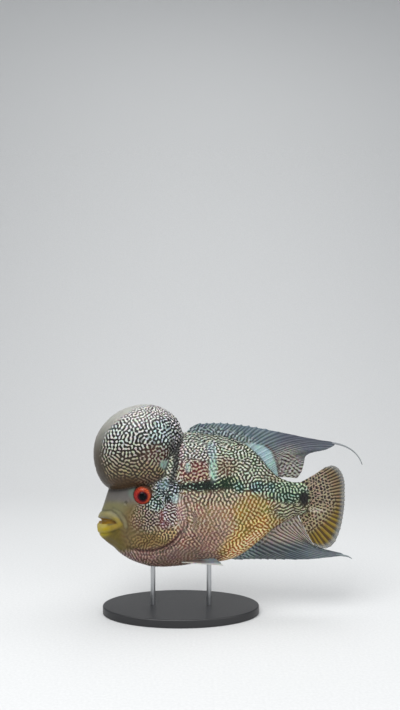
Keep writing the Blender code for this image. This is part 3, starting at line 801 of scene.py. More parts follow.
@dataclass(frozen=True)
class Markings:
    """The fish's markings, which skin and scales share."""

    nape_crease: Pairs = ((84.0, 64.0), (80.5, 52.0), (78.5, 38.0), (77.0, 26.0), (74.0, 18.0))
    upper_lip: Pairs = (
        (1.5, -14.5), (6.0, -14.2), (11.0, -14.6), (16.0, -17.0), (20.5, -21.0), (23.0, -25.0)
    )
    lower_lip: Pairs = ((0.5, -28.5), (8.0, -28.8), (15.0, -28.0), (23.0, -25.0))
    lip_fold: Pairs = ((14.0, -11.5), (22.0, -15.5), (27.5, -20.5), (29.0, -27.0))
    gape: Pairs = ((1.0, -20.6), (9.0, -21.0), (15.0, -21.8), (21.0, -24.2))
    throat_crease: Pairs = (
        (38.0, -49.5), (45.0, -51.3), (57.0, -50.4), (69.0, -46.4), (78.0, -39.5), (84.5, -30.5),
        (88.5, -21.0),
    )
    # inner edge of the hump's bare crescent: degrees round the hump against shares of its radius
    bare_edge: Pairs = (
        (60.0, 1.14), (70.0, 1.02), (95.0, 0.90), (120.0, 0.81), (150.0, 0.80),
        (188.0, 0.81), (206.0, 0.82), (221.0, 0.84), (240.0, 1.04), (250.0, 1.14),
    )
    kok_squeeze: float = 1.06  # how far the hump laid flat is drawn together
    # tones of the hump's bare crescent at its low edge and at its crown; the pale crown is partly the skin's
    # own grey and partly painted sheen of the light from above
    bare_low: Colour = (70, 58, 42)
    bare_lit_top: Colour = (182, 182, 174)
    ground_depth: float = 0.64  # what is left of the light of patterned ground
    lines_depth: float = 0.92  # and of its lines
    plain_depth: float = 0.76  # and where ground and lines are alike
    thinning: float = 0.035  # how far the lines are thinned

    def paint(self, points: Array) -> tuple[Painted, Array]:
        """Works out the colours and the weave of lines at points of the skin.

        Args:
            points: rows on the fish.

        Returns:
            The painted values, and rows of the place on the skin laid flat, in metres.
        """
        x, y, z = points.T
        seen_x, seen_z = VIEW.project(points)
        made = Painted.plain(len(points), (88, 70, 44), (164, 150, 122))
        for mark in HEAD_AND_BODY + FACE:
            made.lay(mark, mark.weight(seen_x, seen_z))
        crease = line_distance(seen_x, seen_z, self.nape_crease)
        made.wash(
            "nape_crease", smooth(4.2, 1.2, crease), (14, 18, 15), (106, 108, 100), share=0.03, pitch=3.0
        )
        rosy = line_distance(seen_x, seen_z + 3.6, self.throat_crease)
        made.wash(
            "rosy_band", 0.8 * smooth(5.0, 2.0, rosy), (134, 100, 88), (180, 150, 138),
            grain=0.6, pitch=2.9,
        )
        # painted shade: a dark reddish line along the throat crease, under the gill cover's lower edge
        under = line_distance(seen_x, seen_z, self.throat_crease)
        under = 0.8 * smooth(2.4, 0.2, under) * smooth(90.0, 82.0, seen_x)
        made.wash("crease", under, (76, 30, 24), (120, 66, 56), share=0.05)
        self.paint_mouth(made, points, seen_x, seen_z)
        on_kok = smooth(1.05, 1.015, HUMP.level(points))
        self.paint_kok(made, points, on_kok)
        flat = np.stack([x, TRUNK.girth(x, y, z), np.zeros(len(x))], -1)
        made.deepen(self.ground_depth, self.lines_depth, self.plain_depth, self.thinning)
        kok_flat = self.flatten_kok(points)
        flat += (kok_flat - flat) * (on_kok > 0.5)[:, None]
        return made, flat * MM

    def paint_mouth(self, made: Painted, points: Array, x: Array, z: Array) -> None:
        """Paints lips, chin and the inside of the mouth, with painted shade deep inside it.

        Args:
            made: the painted values.
            points: rows on the fish.
            x: where they show, back from the lips.
            z: and over the midline.
        """
        upper = line_distance(x, z, self.upper_lip)
        lower = line_distance(x, z, self.lower_lip)
        fold = line_distance(x, z, self.lip_fold)
        gap = line_distance(x, z, self.gape)
        on_upper = smooth(3.6, 1.6, upper)
        inside = smooth(0.5, 1.6, TRUNK.sunk(points)) * smooth(4.4, 3.2, gap)
        for name, colour, weight in (
            ("fold", (134, 128, 94), 0.7 * smooth(2.6, 0.4, fold)),
            # upper: the upper lip's pale olive band, partly its own colour and partly a painted highlight
            # along its edge
            ("upper", (142, 134, 88), on_upper),
            ("upper_edge", (150, 130, 46), 0.8 * smooth(-16.0, -19.0, z) * on_upper),
            ("lower", (150, 128, 44), smooth(3.8, 2.0, lower)),
            ("yellow", (178, 156, 6), smooth(14.0, 5.0, np.hypot(x - 3.0, (z + 31.0) * 1.5))),
            ("rim", (180, 164, 86), 0.9 * smooth(7.0, 2.5, np.hypot(x - 5.0, (z + 25.0) * 1.5))),
            # inside: the mouth's lining, dark yellow, partly its own colour and partly painted shade of the
            # hollow; throat: painted shade, darker further back in the mouth
            ("inside", (146, 110, 14), inside),
            ("throat", (92, 60, 10), inside * smooth(12.0, 19.0, x)),
        ):
            made.wash(name, weight, colour, colour)

    def paint_kok(self, made: Painted, points: Array, on_kok: Array) -> None:
        """Paints the hump over what is there, with a painted sheen on the crown of its bare part.

        Args:
            made: the painted values.
            points: rows on the fish.
            on_kok: how far each point belongs to the hump.
        """
        x, z = VIEW.project(points)
        made.lay(KOK[0], on_kok)
        low = smooth(64.0, 20.0, z - 0.15 * x) * on_kok
        made.wash("olive", low, (60, 46, 26), (164, 146, 110), share=0.02, pitch=3.3)
        for mark in KOK[1:]:
            made.lay(mark, mark.weight(x, z) * on_kok)
        across, up = x - HUMP.centre[0], z - HUMP.centre[2]
        radius, angle = HUMP.reach(across, up)
        out = np.hypot(across, up) / radius
        edge = between(self.bare_edge, angle)
        ragged = 0.03 * np.sin(x * 0.9 + np.sin(z * 0.7)) * np.sin(z * 1.1)
        first, last = self.bare_edge[0][0], self.bare_edge[-1][0]
        bare = smooth(edge - 0.08, edge + 0.08, out + ragged) * on_kok * (angle > first) * (angle < last)
        # the bare part pales towards the crown: painted sheen of the light from above, over its own
        # brown-to-grey colour
        crown = smooth(30.0, 92.0, z)
        dim, lit_top = linear(self.bare_low), linear(self.bare_lit_top)
        lit_tone = dim + (lit_top - dim) * crown[:, None] ** 1.3
        made.ground += (lit_tone - made.ground) * bare[:, None]
        made.lines += (lit_tone - made.lines) * bare[:, None]

    def flatten_kok(self, points: Array) -> Array:
        """Lays the hump flat about each of its sides.

        Args:
            points: rows on the fish.

        Returns:
            Rows of the flat place in millimetres.
        """
        away = points - np.array(HUMP.centre)
        radius, angle = HUMP.reach(away[:, 0], away[:, 2])
        flat = np.hypot(away[:, 0], away[:, 2]) / radius
        across = np.abs(away[:, 1]) / HUMP.half_width
        tip = np.arctan2(flat, across) * radius / self.kok_squeeze
        turn = np.radians(angle)
        return np.stack([HUMP_APART + tip * np.cos(turn), tip * np.sin(turn), 0 * tip], -1)


MARKINGS = Markings()


def store_paint(mesh: bpy.types.Mesh, made: Painted, flat: Array, mixing: Array) -> None:
    """Stores painted values on a mesh for its finish to read.

    Args:
        mesh: what is painted.
        made: the painted values.
        flat: rows of the place on the surface laid flat.
        mixing: rows of how much the labyrinth, the rays and the see-through share count.
    """
    put_colours(mesh, "ground", made.ground)
    put_colours(mesh, "lines", made.lines)
    put_vectors(mesh, "flat", flat)
    put_vectors(mesh, "weave", np.stack([made.share, made.grain, made.course], -1))
    put_vectors(mesh, "mixing", mixing)
    put_vectors(mesh, "tuning", np.stack([made.pitch, made.locked, made.contrast()], -1))


# Finishes


class Nodes:
    """A small helper that wires up one material's nodes."""

    def __init__(self, name: str) -> None:
        """Starts a material with its usual shader.

        Args:
            name: the material's name.
        """
        self.material = bpy.data.materials.new(name)
        self.material.use_nodes = True
        self.tree = self.material.node_tree
        self.shader = self.tree.nodes["Principled BSDF"]

    def feed(self, node: bpy.types.Node, inputs: dict[str | int, object]) -> None:
        """Gives a node's inputs what they work with.

        Args:
            node: the node.
            inputs: a socket or a value for each of its inputs, by name or number.
        """
        for key, term in inputs.items():
            if isinstance(term, Socket):
                self.tree.links.new(term, node.inputs[key])
            else:
                node.inputs[key].default_value = term

    def add(self, kind: str, inputs: dict[str | int, object], **settings: object) -> bpy.types.NodeOutputs:
        """Adds a node.

        Args:
            kind: the node's type.
            inputs: a socket or a value for each of its inputs that is used, by name or number.
            settings: the node's own properties.

        Returns:
            Its outputs.
        """
        made = self.tree.nodes.new("ShaderNode" + kind)
        for key, value in settings.items():
            setattr(made, key, value)
        self.feed(made, inputs)
        return made.outputs

    def stored(self, name: str) -> bpy.types.NodeOutputs:
        """What the mesh holds for each vertex under a name, as colour and as vector."""
        return self.add("Attribute", {}, attribute_name=name)

    def apart(self, vector: Socket) -> bpy.types.NodeOutputs:
        """The three values of a vector."""
        return self.add("SeparateXYZ", {0: vector})

    def parts_of(self, name: str) -> bpy.types.NodeOutputs:
        """The three values of a stored vector."""
        return self.apart(self.stored(name)["Vector"])

    def math(self, how: str, *terms: object) -> Socket:
        """What a Math node makes of sockets or numbers."""
        return self.add("Math", dict(enumerate(terms)), operation=how)[0]

    def times(self, one: object, two: object) -> Socket:
        """The product of two sockets or numbers."""
        return self.math("MULTIPLY", one, two)

    def plus(self, one: object, two: object) -> Socket:
        """The sum of two sockets or numbers."""
        return self.math("ADD", one, two)

    def less(self, one: object, two: object) -> Socket:
        """The difference of two sockets or numbers."""
        return self.math("SUBTRACT", one, two)

    def vector(self, how: str, *terms: object) -> Socket:
        """What a Vector Math node makes of sockets or rows of three."""
        return self.add("VectorMath", dict(enumerate(terms)), operation=how)[0]

    def scaled(self, vector: Socket, factor: Socket) -> Socket:
        """A vector or colour times a factor."""
        return self.add("VectorMath", {0: vector, "Scale": factor}, operation="SCALE")[0]

    def step(self, value: Socket, low: float, high: float) -> Socket:
        """A soft step of a value between low and high."""
        inputs = {"Value": value, "From Min": low, "From Max": high}
        return self.add("MapRange", inputs, interpolation_type="SMOOTHSTEP")["Result"]

    def mix(self, share: object, one: object, two: object) -> Socket:
        """Mixes two colours, as sockets or four numbers, by a share that is a socket or a number."""
        return self.add("Mix", {0: share, 6: one, 7: two}, data_type="RGBA")[2]

    def here(self) -> Socket:
        """The object's own coordinates."""
        return self.add("TexCoord", {})["Object"]

    def noise(self, scale: float, detail: float, vector: Socket | None = None) -> Socket:
        """Noise of a scale per metre, with finer layers, over the object's own or other coordinates."""
        where = self.here() if vector is None else vector
        return self.add("TexNoise", {"Vector": where, "Scale": scale, "Detail": detail})["Fac"]

    def strayed(self, vector: Socket, scale: float, reach: float, space: str) -> Socket:
        """A flat place that strays by a reach in metres, after noise of a scale per metre."""
        away = self.add("TexNoise", {"Vector": vector, "Scale": scale}, noise_dimensions=space)["Color"]
        return self.vector("MULTIPLY_ADD", away, (reach, reach, 0.0), vector)

    def bump(self, height: Socket, distance: float, before: Socket | None = None) -> Socket:
        """A Bump node.

        Args:
            height: what is raised.
            distance: how far, in metres.
            before: an earlier bump's normal, if any.

        Returns:
            The normal's socket.
        """
        inputs = {"Distance": distance, "Height": height}
        if before is not None:
            inputs["Normal"] = before
        return self.add("Bump", inputs)["Normal"]


@dataclass(frozen=True)
class LabyrinthFinish:
    """Skin, scale or fin with pale winding lines on a darker ground.

    A stray or wander holds how fine a change from place to place is, per metre, and how far it goes.
    A depth is what a pattern adds to the winding field.
    """

    name: str
    layer: Layer
    crispness: float = 0.045
    cell: float = 66.0  # how many patches of waves fit in a metre
    line_stray: tuple[float, float] = (120.0, 0.0026)
    dot_pitch: float = 3.7  # of the dots along a fin's rays, in millimetres
    dot_stray: tuple[float, float] = (160.0, 0.006)
    dot_turns: tuple[float, ...] = (10.0, 70.0, 130.0)  # of the rows of dots, in degrees
    dot_swell: float = 0.15
    dot_depth: float = -0.16
    streak_depth: float = 0.2
    pearl_depth: float = -0.27
    ground_wander: tuple[float, float] = (110.0, 1.3)
    lines_wander: tuple[float, float] = (420.0, 0.9)
    mottle: tuple[float, float] = (160.0, 0.5)
    least_light: float = 0.76  # of the mottle, as a share of the colour
    roughness: float = 0.42
    gloss: float = 0.35
    line_relief: float = 0.00014  # how far the pale lines stand up, in metres
    ray_relief: float = 0.00007
    see_through: bool = False

    def labyrinth(self, n: Nodes) -> Socket:
        """The winding field, above 0 on the lines and below it on the ground.

        Args:
            n: the material's nodes.

        Returns:
            The field's socket.
        """
        weave, tuning, mixing = (n.parts_of(name) for name in ("weave", "tuning", "mixing"))
        bent = n.strayed(n.stored("flat")["Vector"], *self.line_stray, "2D")
        inputs = {
            "Vector": bent,
            "Scale": self.cell,
            "Frequency": n.math("DIVIDE", 1.0 / MM / self.cell, tuning[0]),
            "Anisotropy": weave[1],
            "Orientation": n.less(weave[2], math.pi / 2),
        }
        waves = n.add("TexGabor", inputs, gabor_type="2D")["Value"]
        winding = n.times(n.less(waves, 0.5), mixing[0])
        if self.layer is Layer.FIN:
            extra = self.rays(n, mixing[1], tuning[1], bent)
        else:
            extra = self.pearls(n, tuning[1])
        return n.less(n.plus(winding, extra), weave[0])

    def rays(self, n: Nodes, amount: Socket, dotted: Socket, flat: Socket) -> Socket:
        """Streaks along a fin's rays, and dots in rows between them.

        Args:
            n: the material's nodes.
            amount: how much the streaks count.
            dotted: how much the dots count.
            flat: the place on the fin.

        Returns:
            What they add to the field.
        """
        ray = n.parts_of("ray")
        single, double = (n.math("COSINE", n.times(ray[0], 2 * k * math.pi)) for k in (1, 2))
        streaks = n.plus(n.times(single, n.less(1.0, ray[2])), n.times(double, ray[2]))
        streaks = n.times(n.times(streaks, self.streak_depth), amount)
        return n.plus(streaks, n.times(self.dots(n, flat), dotted))

    def dots(self, n: Nodes, flat: Socket) -> Socket:
        """A net whose meshes are dots of the ground, in rows of three directions.

        Args:
            n: the material's nodes.
            flat: the place on the fin.

        Returns:
            What they add to the field.
        """
        place = n.apart(n.strayed(flat, *self.dot_stray, "3D"))
        wave = 4.0 * math.pi / (math.sqrt(3.0) * self.dot_pitch * MM)
        total: object = self.dot_swell
        for turn in np.radians(self.dot_turns):
            across = n.times(place[0], wave * math.cos(turn))
            up = n.times(place[1], wave * math.sin(turn))
            total = n.plus(n.math("COSINE", n.plus(across, up)), total)
        return n.times(total, self.dot_depth)

    def pearls(self, n: Nodes, locked: Socket) -> Socket:
        """A pearl in the middle of each scale.

        Args:
            n: the material's nodes.
            locked: how much they count.

        Returns:
            What they add to the field.
        """
        along, up = (n.math("DIVIDE", part, SCALE_PITCH * MM) for part in n.parts_of("flat")[:2])
        lift = n.times(
            n.math("COSINE", n.times(along, 2 * math.pi)), n.math("SINE", n.times(up, math.pi))
        )
        return n.times(n.times(lift, self.pearl_depth), locked)

    def varied(self, n: Nodes, colour: Socket, scale: float, span: float) -> Socket:
        """A colour whose hue and depth wander from place to place.

        Args:
            n: the material's nodes.
            colour: the colour.
            scale: how fine the wandering is, per metre.
            span: how far it goes where the lines stand out.

        Returns:
            The colour's socket.
        """
        wander = n.add("TexNoise", {"Vector": n.here(), "Scale": scale})["Color"]
        strength = n.plus(n.times(n.parts_of("tuning")[2], 0.85), 0.15)
        away = n.scaled(n.vector("SUBTRACT", wander, (0.5, 0.5, 0.5)), n.times(strength, span))
        return n.vector("MULTIPLY", colour, n.vector("ADD", away, (1.0, 1.0, 1.0)))

    def make(self) -> bpy.types.Material:
        """Builds the material.

        Returns:
            The material.
        """
        n = Nodes(self.name)
        mask = n.step(self.labyrinth(n), -self.crispness, self.crispness)
        ground = self.varied(n, n.stored("ground")["Color"], *self.ground_wander)
        lines = self.varied(n, n.stored("lines")["Color"], *self.lines_wander)
        mottle = n.plus(n.times(n.noise(self.mottle[0], 4.0), self.mottle[1]), self.least_light)
        is_skin = self.layer is Layer.SKIN
        fine = n.noise(1300.0 if is_skin else 1900.0, 3.0)
        normal = n.bump(fine, 0.0001 if is_skin else 0.00006)
        normal = n.bump(n.times(mask, n.parts_of("tuning")[2]), self.line_relief, normal)
        if self.layer is Layer.FIN:
            fine_rays = n.math("COSINE", n.times(n.parts_of("ray")[0], 4 * math.pi))
            normal = n.bump(fine_rays, self.ray_relief, normal)
        n.feed(n.shader, {
            "Base Color": n.scaled(n.mix(mask, ground, lines), mottle),
            "Roughness": n.plus(n.times(fine, 0.22), self.roughness - 0.11),
            "Normal": normal,
            "Specular IOR Level": self.gloss,
        })
        if self.see_through:
            n.feed(n.shader, {"Alpha": n.less(1.0, n.parts_of("mixing")[2])})
        return n.material


@dataclass(frozen=True)
class EyeFinish:
    """A fish's eye: black pupil in a wine-red ring, orange-red iris and dark rim."""

    centre: tuple[float, float]  # x and z of the eye's middle, in the frame's metres
    pupil: float = 3.5
    iris: float = 8.3
    gaze: tuple[float, float] = (0.9, -0.6)  # how far the pupil sits from the iris's middle
    front: Colour = (150, 42, 38)
    rear: Colour = (184, 76, 38)
    streak: Colour = (118, 24, 24)
    wine: Colour = (58, 4, 20)
    rim: Colour = (80, 54, 44)
    black: tuple[float, ...] = (0.001, 0.0015, 0.002, 1.0)
    streak_relief: float = 0.00015

    def from_spot(
        self, n: Nodes, place: bpy.types.NodeOutputs, wobble: Socket, spot: tuple[float, float]
    ) -> Socket:
        """How far the eye's surface lies from a spot of its side view.

        Args:
            n: the material's nodes.
            place: the surface's place from the iris's middle, in metres.
            wobble: what is added to the distance, in metres.
            spot: how far the spot lies from the iris's middle, in millimetres.

        Returns:
            The distance in millimetres.
        """
        sides = [n.less(place[i], v * MM) for i, v in zip((0, 2), spot)]
        far = n.math("SQRT", n.plus(*(n.math("POWER", side, 2.0) for side in sides)))
        return n.math("DIVIDE", n.plus(far, wobble), MM)

    def make(self, name: str) -> bpy.types.Material:
        """Builds the material.

        Args:
            name: the material's name.

        Returns:
            The material.
        """
        n = Nodes(name)
        location = (-self.centre[0], 0.0, -self.centre[1])
        place = n.apart(n.add("Mapping", {"Vector": n.here(), "Location": location})[0])
        wobble = n.times(n.less(n.noise(300.0, 2.0), 0.5), 0.0012)
        far, off_pupil = (self.from_spot(n, place, wobble, spot) for spot in ((0.0, 0.0), self.gaze))
        turn = n.math("ARCTAN2", place[2], place[0])
        ring = n.add("CombineXYZ", {0: n.times(turn, 5.0), 1: n.times(far, 0.25)})[0]
        streaks = n.noise(3.0, 3.0, ring)
        warm = n.step(n.plus(place[0], n.times(place[2], 0.5)), -0.007, 0.006)
        shade = n.mix(warm, opaque(self.front), opaque(self.rear))
        for value, low, high, colour in (
            (streaks, 0.44, 0.68, opaque(self.streak)),
            (off_pupil, self.pupil + 2.9, self.pupil + 0.6, opaque(self.wine)),
            (far, self.iris - 1.0, self.iris + 0.6, opaque(self.rim)),
            (off_pupil, self.pupil + 0.7, self.pupil - 0.4, self.black),
        ):
            shade = n.mix(n.step(value, low, high), shade, colour)
        n.feed(n.shader, {
            "Base Color": shade,
            "Roughness": 0.12,
            "Specular IOR Level": 0.06,
            "Coat Weight": 0.08,
            "Coat Roughness": 0.03,
            "Normal": n.bump(streaks, self.streak_relief),
        })
        return n.material


@dataclass(frozen=True)
class PlainFinish:
    """A plain finish with a fine grain, for stand and stage."""

    name: str
    colour: Colour
    roughness: float
    metallic: float = 0.0
    grain: float = 400.0
    relief: float = 0.00003

    def make(self) -> bpy.types.Material:
        """Builds the material.

        Returns:
            The material.
        """
        n = Nodes(self.name)
        grain = n.noise(self.grain, 4.0)
        base = linear(self.colour)
        low, high = (*(base * 0.9), 1.0), (*np.minimum(base * 1.1, 1.0), 1.0)
        n.feed(n.shader, {
            "Base Color": n.mix(grain, low, high),
            "Roughness": n.plus(n.times(grain, 0.16), self.roughness - 0.08),
            "Metallic": self.metallic,
        })
        if self.relief:
            n.feed(n.shader, {"Normal": n.bump(grain, self.relief)})
        return n.material


# Skin


@dataclass(frozen=True)
class Fold:
    """A groove, or with a negative depth a ridge, along a line of the side view."""

    name: str
    line: Pairs
    depth: float
    width: float
    shade: float = 0.0  # how far the skin darkens in it

    def press(self, x: Array, z: Array) -> Array:
        """How far the skin is pressed in at these places."""
        away = line_distance(x, z, self.line)
        return self.depth * np.exp(-((away / self.width) ** 2))


FOLDS: tuple[Fold, ...] = (
    Fold("gill_slit", ((79, 6), (87, 0), (91, -12), (91, -26), (86.5, -37), (77, -46), (64, -52.5)),
         1.3, 1.0, 0.5),
    Fold("preopercle", ((62, 2), (63.5, -10), (62.5, -25), (57, -38), (47, -45.5), (37, -48.5)),
         0.7, 1.0, 0.25),
    Fold("preopercle_rim", ((60, 2), (61, -10), (60, -24), (55, -36), (46, -43.5)), -0.35, 1.2),
    Fold("upper_lip_root", ((3, -10.8), (9, -10.2), (14, -10.4), (19, -13.5), (23, -18), (25.5, -24)),
         0.9, 0.8, 0.4),
    Fold("lower_lip_root", ((1, -33.2), (8, -33.4), (15, -32), (22, -29), (26, -25.5)), 0.9, 0.8, 0.35),
    Fold("maxilla", ((16, -8), (24, -12), (29.5, -19), (31, -26), (29.5, -33)), 0.6, 0.9, 0.3),
    Fold("maxilla_rim", ((16, -9.5), (23, -13.5), (27.5, -19), (28.5, -27)), -0.5, 1.1),
    Fold("cheek_line", ((33, -10), (35, -20), (34, -31), (30, -39)), 0.35, 1.2),
    Fold("chin", ((23, -30), (29, -36), (33, -43), (34, -50)), 0.5, 1.3, 0.15),
    Fold("chin_2", ((8, -38), (16, -42), (25, -48), (32, -54)), 0.3, 1.6),
    Fold("isthmus", ((31, -48), (42, -50.5), (56, -51), (68, -47), (77, -41), (84.5, -31.5)), 1.1, 1.0, 0.6),
    Fold("ray_1", ((38, -54.5), (54, -55.4), (70, -52), (81, -45), (88.5, -36)), 0.5, 0.9, 0.4),
    Fold("ray_2", ((44, -59.5), (58, -60), (72, -57), (84, -50)), 0.4, 0.9, 0.25),
    Fold("orbit", ((32, 1), (35, -6), (42, -9.5), (50, -8), (55, -1), (54, 7)), 0.45, 1.1),
    Fold("orbit_2", ((29, -2), (33, -10), (42, -14), (53, -12)), 0.25, 1.4),
    Fold("brow_crease", ((11, 8), (20, 9.2), (30, 12)), 0.5, 1.4),
    Fold("nape_crease", ((74, 18), (77, 26), (78.5, 38), (80.5, 52), (84, 64)), 1.2, 1.6, 0.3),
)


@dataclass
class Skin:
    """One skin for head, hump, trunk and tail stem, with its mouth, folds and gill covers."""

    voxel: float = 0.95
    # lips from the front to the corner, in the side view, with their radii at both ends
    upper_lip: Pairs = (
        (4.6, -15.6), (7.0, -14.9), (11.0, -14.8), (16.0, -16.6), (20.5, -20.6), (22.5, -24.2)
    )
    upper_radii: tuple[float, float] = (3.2, 1.7)
    lower_lip: Pairs = ((4.6, -27.4), (7.5, -28.2), (12.0, -28.4), (18.0, -27.4), (22.5, -24.9))
    lower_radii: tuple[float, float] = (4.5, 1.7)
    gape: Pairs = ((2.2, -20.8), (8.0, -21.2), (13.0, -21.6), (18.0, -22.8), (21.5, -24.4))
    gape_radii: tuple[float, float] = (3.4, 1.0)
    lining: Place = (12.0, 0.0, -20.9)  # its middle, deep between the lips
    lining_radii: Place = (7.6, 5.4, 4.4)
    lip_bow: float = 10.0  # how far back the lips' front bow reaches
    lip_sink: float = 0.45  # of their radius, under the skin
    lip_steps: int = 22
    lip_sides: int = 18
    nostril: tuple[float, float] = (28.5, -3.0)
    nostril_rim: float = 0.45
    nostril_depth: float = 1.9
    cover_outline: Pairs = (
        (65.0, 6.0), (76.0, 7.0), (82.5, 2.0), (86.0, -6.0), (87.6, -16.0), (87.4, -27.0),
        (83.0, -36.5), (74.0, -44.0), (60.0, -49.0), (46.0, -50.5), (54.0, -46.0), (61.5, -37.0),
        (64.0, -24.0), (64.5, -8.0),
    )  # of the gill cover, in the side view
    cover_thickness: float = 1.5
    cover_hem: float = 0.6  # thickness of the soft hem behind it
    cheek: tuple[float, float, float, float] = (50.0, -24.0, 17.0, 20.0)  # middle and half sizes
    cheek_rise: float = 1.3
    knob_rise: float = 1.3  # of the knobs on the hump
    knob_fineness: float = 0.23
    coat_depth: float = 0.35

    def lip(self, name: str, line: Pairs, radii: tuple[float, float]) -> Piece:
        """One lip, from corner to corner round the front of the mouth.

        Args:
            name: the object's name.
            line: x and z from the front to the corner, as they show in the side view.
            radii: its radius in front and at the corners.

        Returns:
            The lip as a closed bar.
        """
        front, corner = line[0][0], line[-1][0]
        half, sizes = [], []
        for share in np.linspace(0.0, 1.0, self.lip_steps):
            x = front + (corner - front) * (1 - math.cos(share * math.pi / 2)) ** 0.9
            bow = min(1.0, max(0.0, (self.lip_bow - x) / (self.lip_bow - front)))
            radius = radii[0] + (radii[1] - radii[0]) * share**1.5
            sink = radius * self.lip_sink
            half.append(VIEW.back_onto(x, float(between(line, x)), sink, math.sqrt(1 - bow**2)))
            sizes.append(radius)
        other = [(x, -y, z) for x, y, z in half[:0:-1]]
        return swept(name, np.array(other + half), sizes[:0:-1] + sizes, self.lip_sides)

    def rough_form(self) -> Piece:
        """Trunk, hump and lips in one closed form with the mouth and sockets cut.

        Returns:
            The form.
        """
        body = TRUNK.form("fish_skin")
        cut_or_join(body, [self.lip("gape", self.gape, self.gape_radii)], "DIFFERENCE")
        added = [
            self.lip("upper", self.upper_lip, self.upper_radii),
            self.lip("lower", self.lower_lip, self.lower_radii),
            ball("lining", self.lining, self.lining_radii, 0.0, 48),
            HUMP.form("kok"),
        ]
        cut_or_join(body, added, "UNION")
        cut_or_join(body, [EYE.socket(side) for side in Side], "DIFFERENCE")
        shell = body.modifiers.new("shell", "REMESH")
        shell.mode = "VOXEL"
        shell.voxel_size = self.voxel * MM
        shell.use_smooth_shade = True
        return apply_all(body)

    def relax(self, body: Piece, rounds: int) -> None:
        """Evens out the skin.

        Args:
            body: the skin.
            rounds: how often each point moves towards its neighbours.
        """
        shape = bmesh.new()
        shape.from_mesh(body.data)
        for _ in range(rounds):
            bmesh.ops.smooth_vert(
                shape, verts=shape.verts, factor=0.5,
                use_axis_x=True, use_axis_y=True, use_axis_z=True,
            )
        for face in shape.faces:
            face.smooth = True
        shape.to_mesh(body.data)
        shape.free()

    def relief(self, points: Array) -> Array:
        """How far each point of the skin is raised by folds, gill covers and knobs.

        Args:
            points: rows on the fish.

        Returns:
            The heights in millimetres.
        """
        y = points[:, 1]
        x, z = VIEW.project(points)
        on_side = smooth(4.0, 9.0, np.abs(y))
        on_kok = smooth(1.06, 1.0, HUMP.level(points))
        rise = np.zeros(len(x))
        for fold in FOLDS:
            sided = np.maximum(on_side, 1.0 if "lip" in fold.name else 0.0)
            rise -= fold.press(x, z) * sided * (1 - on_kok)
        depth = inside_distance(x, z, rounded(self.cover_outline))
        plate = smooth(-0.4, 1.3, depth) * smooth(60.0, 72.0, x + 0.25 * (z + 50.0))
        rise += self.cover_thickness * plate * on_side * (1 - on_kok)
        hem = smooth(-3.9, -2.9, depth) * smooth(66.0, 74.0, x)
        rise += self.cover_hem * hem * (1 - plate) * on_side * (1 - on_kok)
        hole = np.hypot(x - self.nostril[0], z - self.nostril[1])
        ring = np.exp(-(((hole - 2.4) / 0.8) ** 2))
        rise += (self.nostril_rim * ring - self.nostril_depth * smooth(1.9, 0.9, hole)) * on_side
        middle_x, middle_z, half_x, half_z = self.cheek
        cheek = np.hypot((x - middle_x) / half_x, (z - middle_z) / half_z)
        rise += self.cheek_rise * smooth(1.0, 0.2, cheek) * on_side * (1 - on_kok)
        _, angle = HUMP.reach(x - HUMP.centre[0], z - HUMP.centre[2])
        knobby = on_kok * (0.2 + 0.8 * smooth(105.0, 70.0, angle) * smooth(-5.0, 12.0, angle))
        humped = on_kok > 0.01
        knobs = np.array([noise.noise(Vector(p) * self.knob_fineness) for p in points[humped]])
        rise[humped] += self.knob_rise * knobs * knobby[humped]
        return rise

    def shadow(self, points: Array) -> Array:
        """How far the skin darkens in its folds.

        Args:
            points: rows on the fish.

        Returns:
            Shares from 0 to 1.
        """
        dark = np.zeros(len(points))
        on_side = smooth(2.0, 6.0, np.abs(points[:, 1])) * smooth(1.0, 1.06, HUMP.level(points))
        for fold in FOLDS:
            if fold.depth > 0:
                pressed = fold.press(*VIEW.project(points)) / fold.depth
                dark = np.maximum(dark, fold.shade * pressed * on_side)
        return dark

    def build(self) -> Piece:
        """Builds the skin, paints it and sets it in for the solids of flesh.

        Returns:
            The skin.
        """
        body = self.rough_form()
        self.relax(body, 4)
        points = to_fish(points_of(body.data))
        covered = smooth(94.0, 100.0, points[:, 0]) * self.coat_depth
        points += normals_of(body.data) * (self.relief(points) - covered)[:, None]
        set_points(body.data, to_frame(points))
        self.relax(body, 1)
        points = to_fish(points_of(body.data))
        made, flat = MARKINGS.paint(points)
        # painted shadow in the crease round the hump's edge, where it overhangs the head, and painted shade
        # in the folds
        crease = np.exp(-(((HUMP.level(points) - 1.035) / 0.03) ** 2))
        crease *= smooth(0.0, 8.0, points[:, 0])
        made.shade((1 - 0.75 * crease) * (1 - self.shadow(points)))
        mixing = np.tile([1.0, 0.0, 0.0], (len(points), 1))
        store_paint(body.data, made, flat, mixing)
        body.data.materials.clear()
        body.data.materials.append(LabyrinthFinish("skin", Layer.SKIN).make())
        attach(body, "root")
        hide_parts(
            "head", "lower_jaw", "nuchal_hump", "torso", "tail_stem",
            "gill_cover_left", "gill_cover_right",
        )
        return body


# Scales


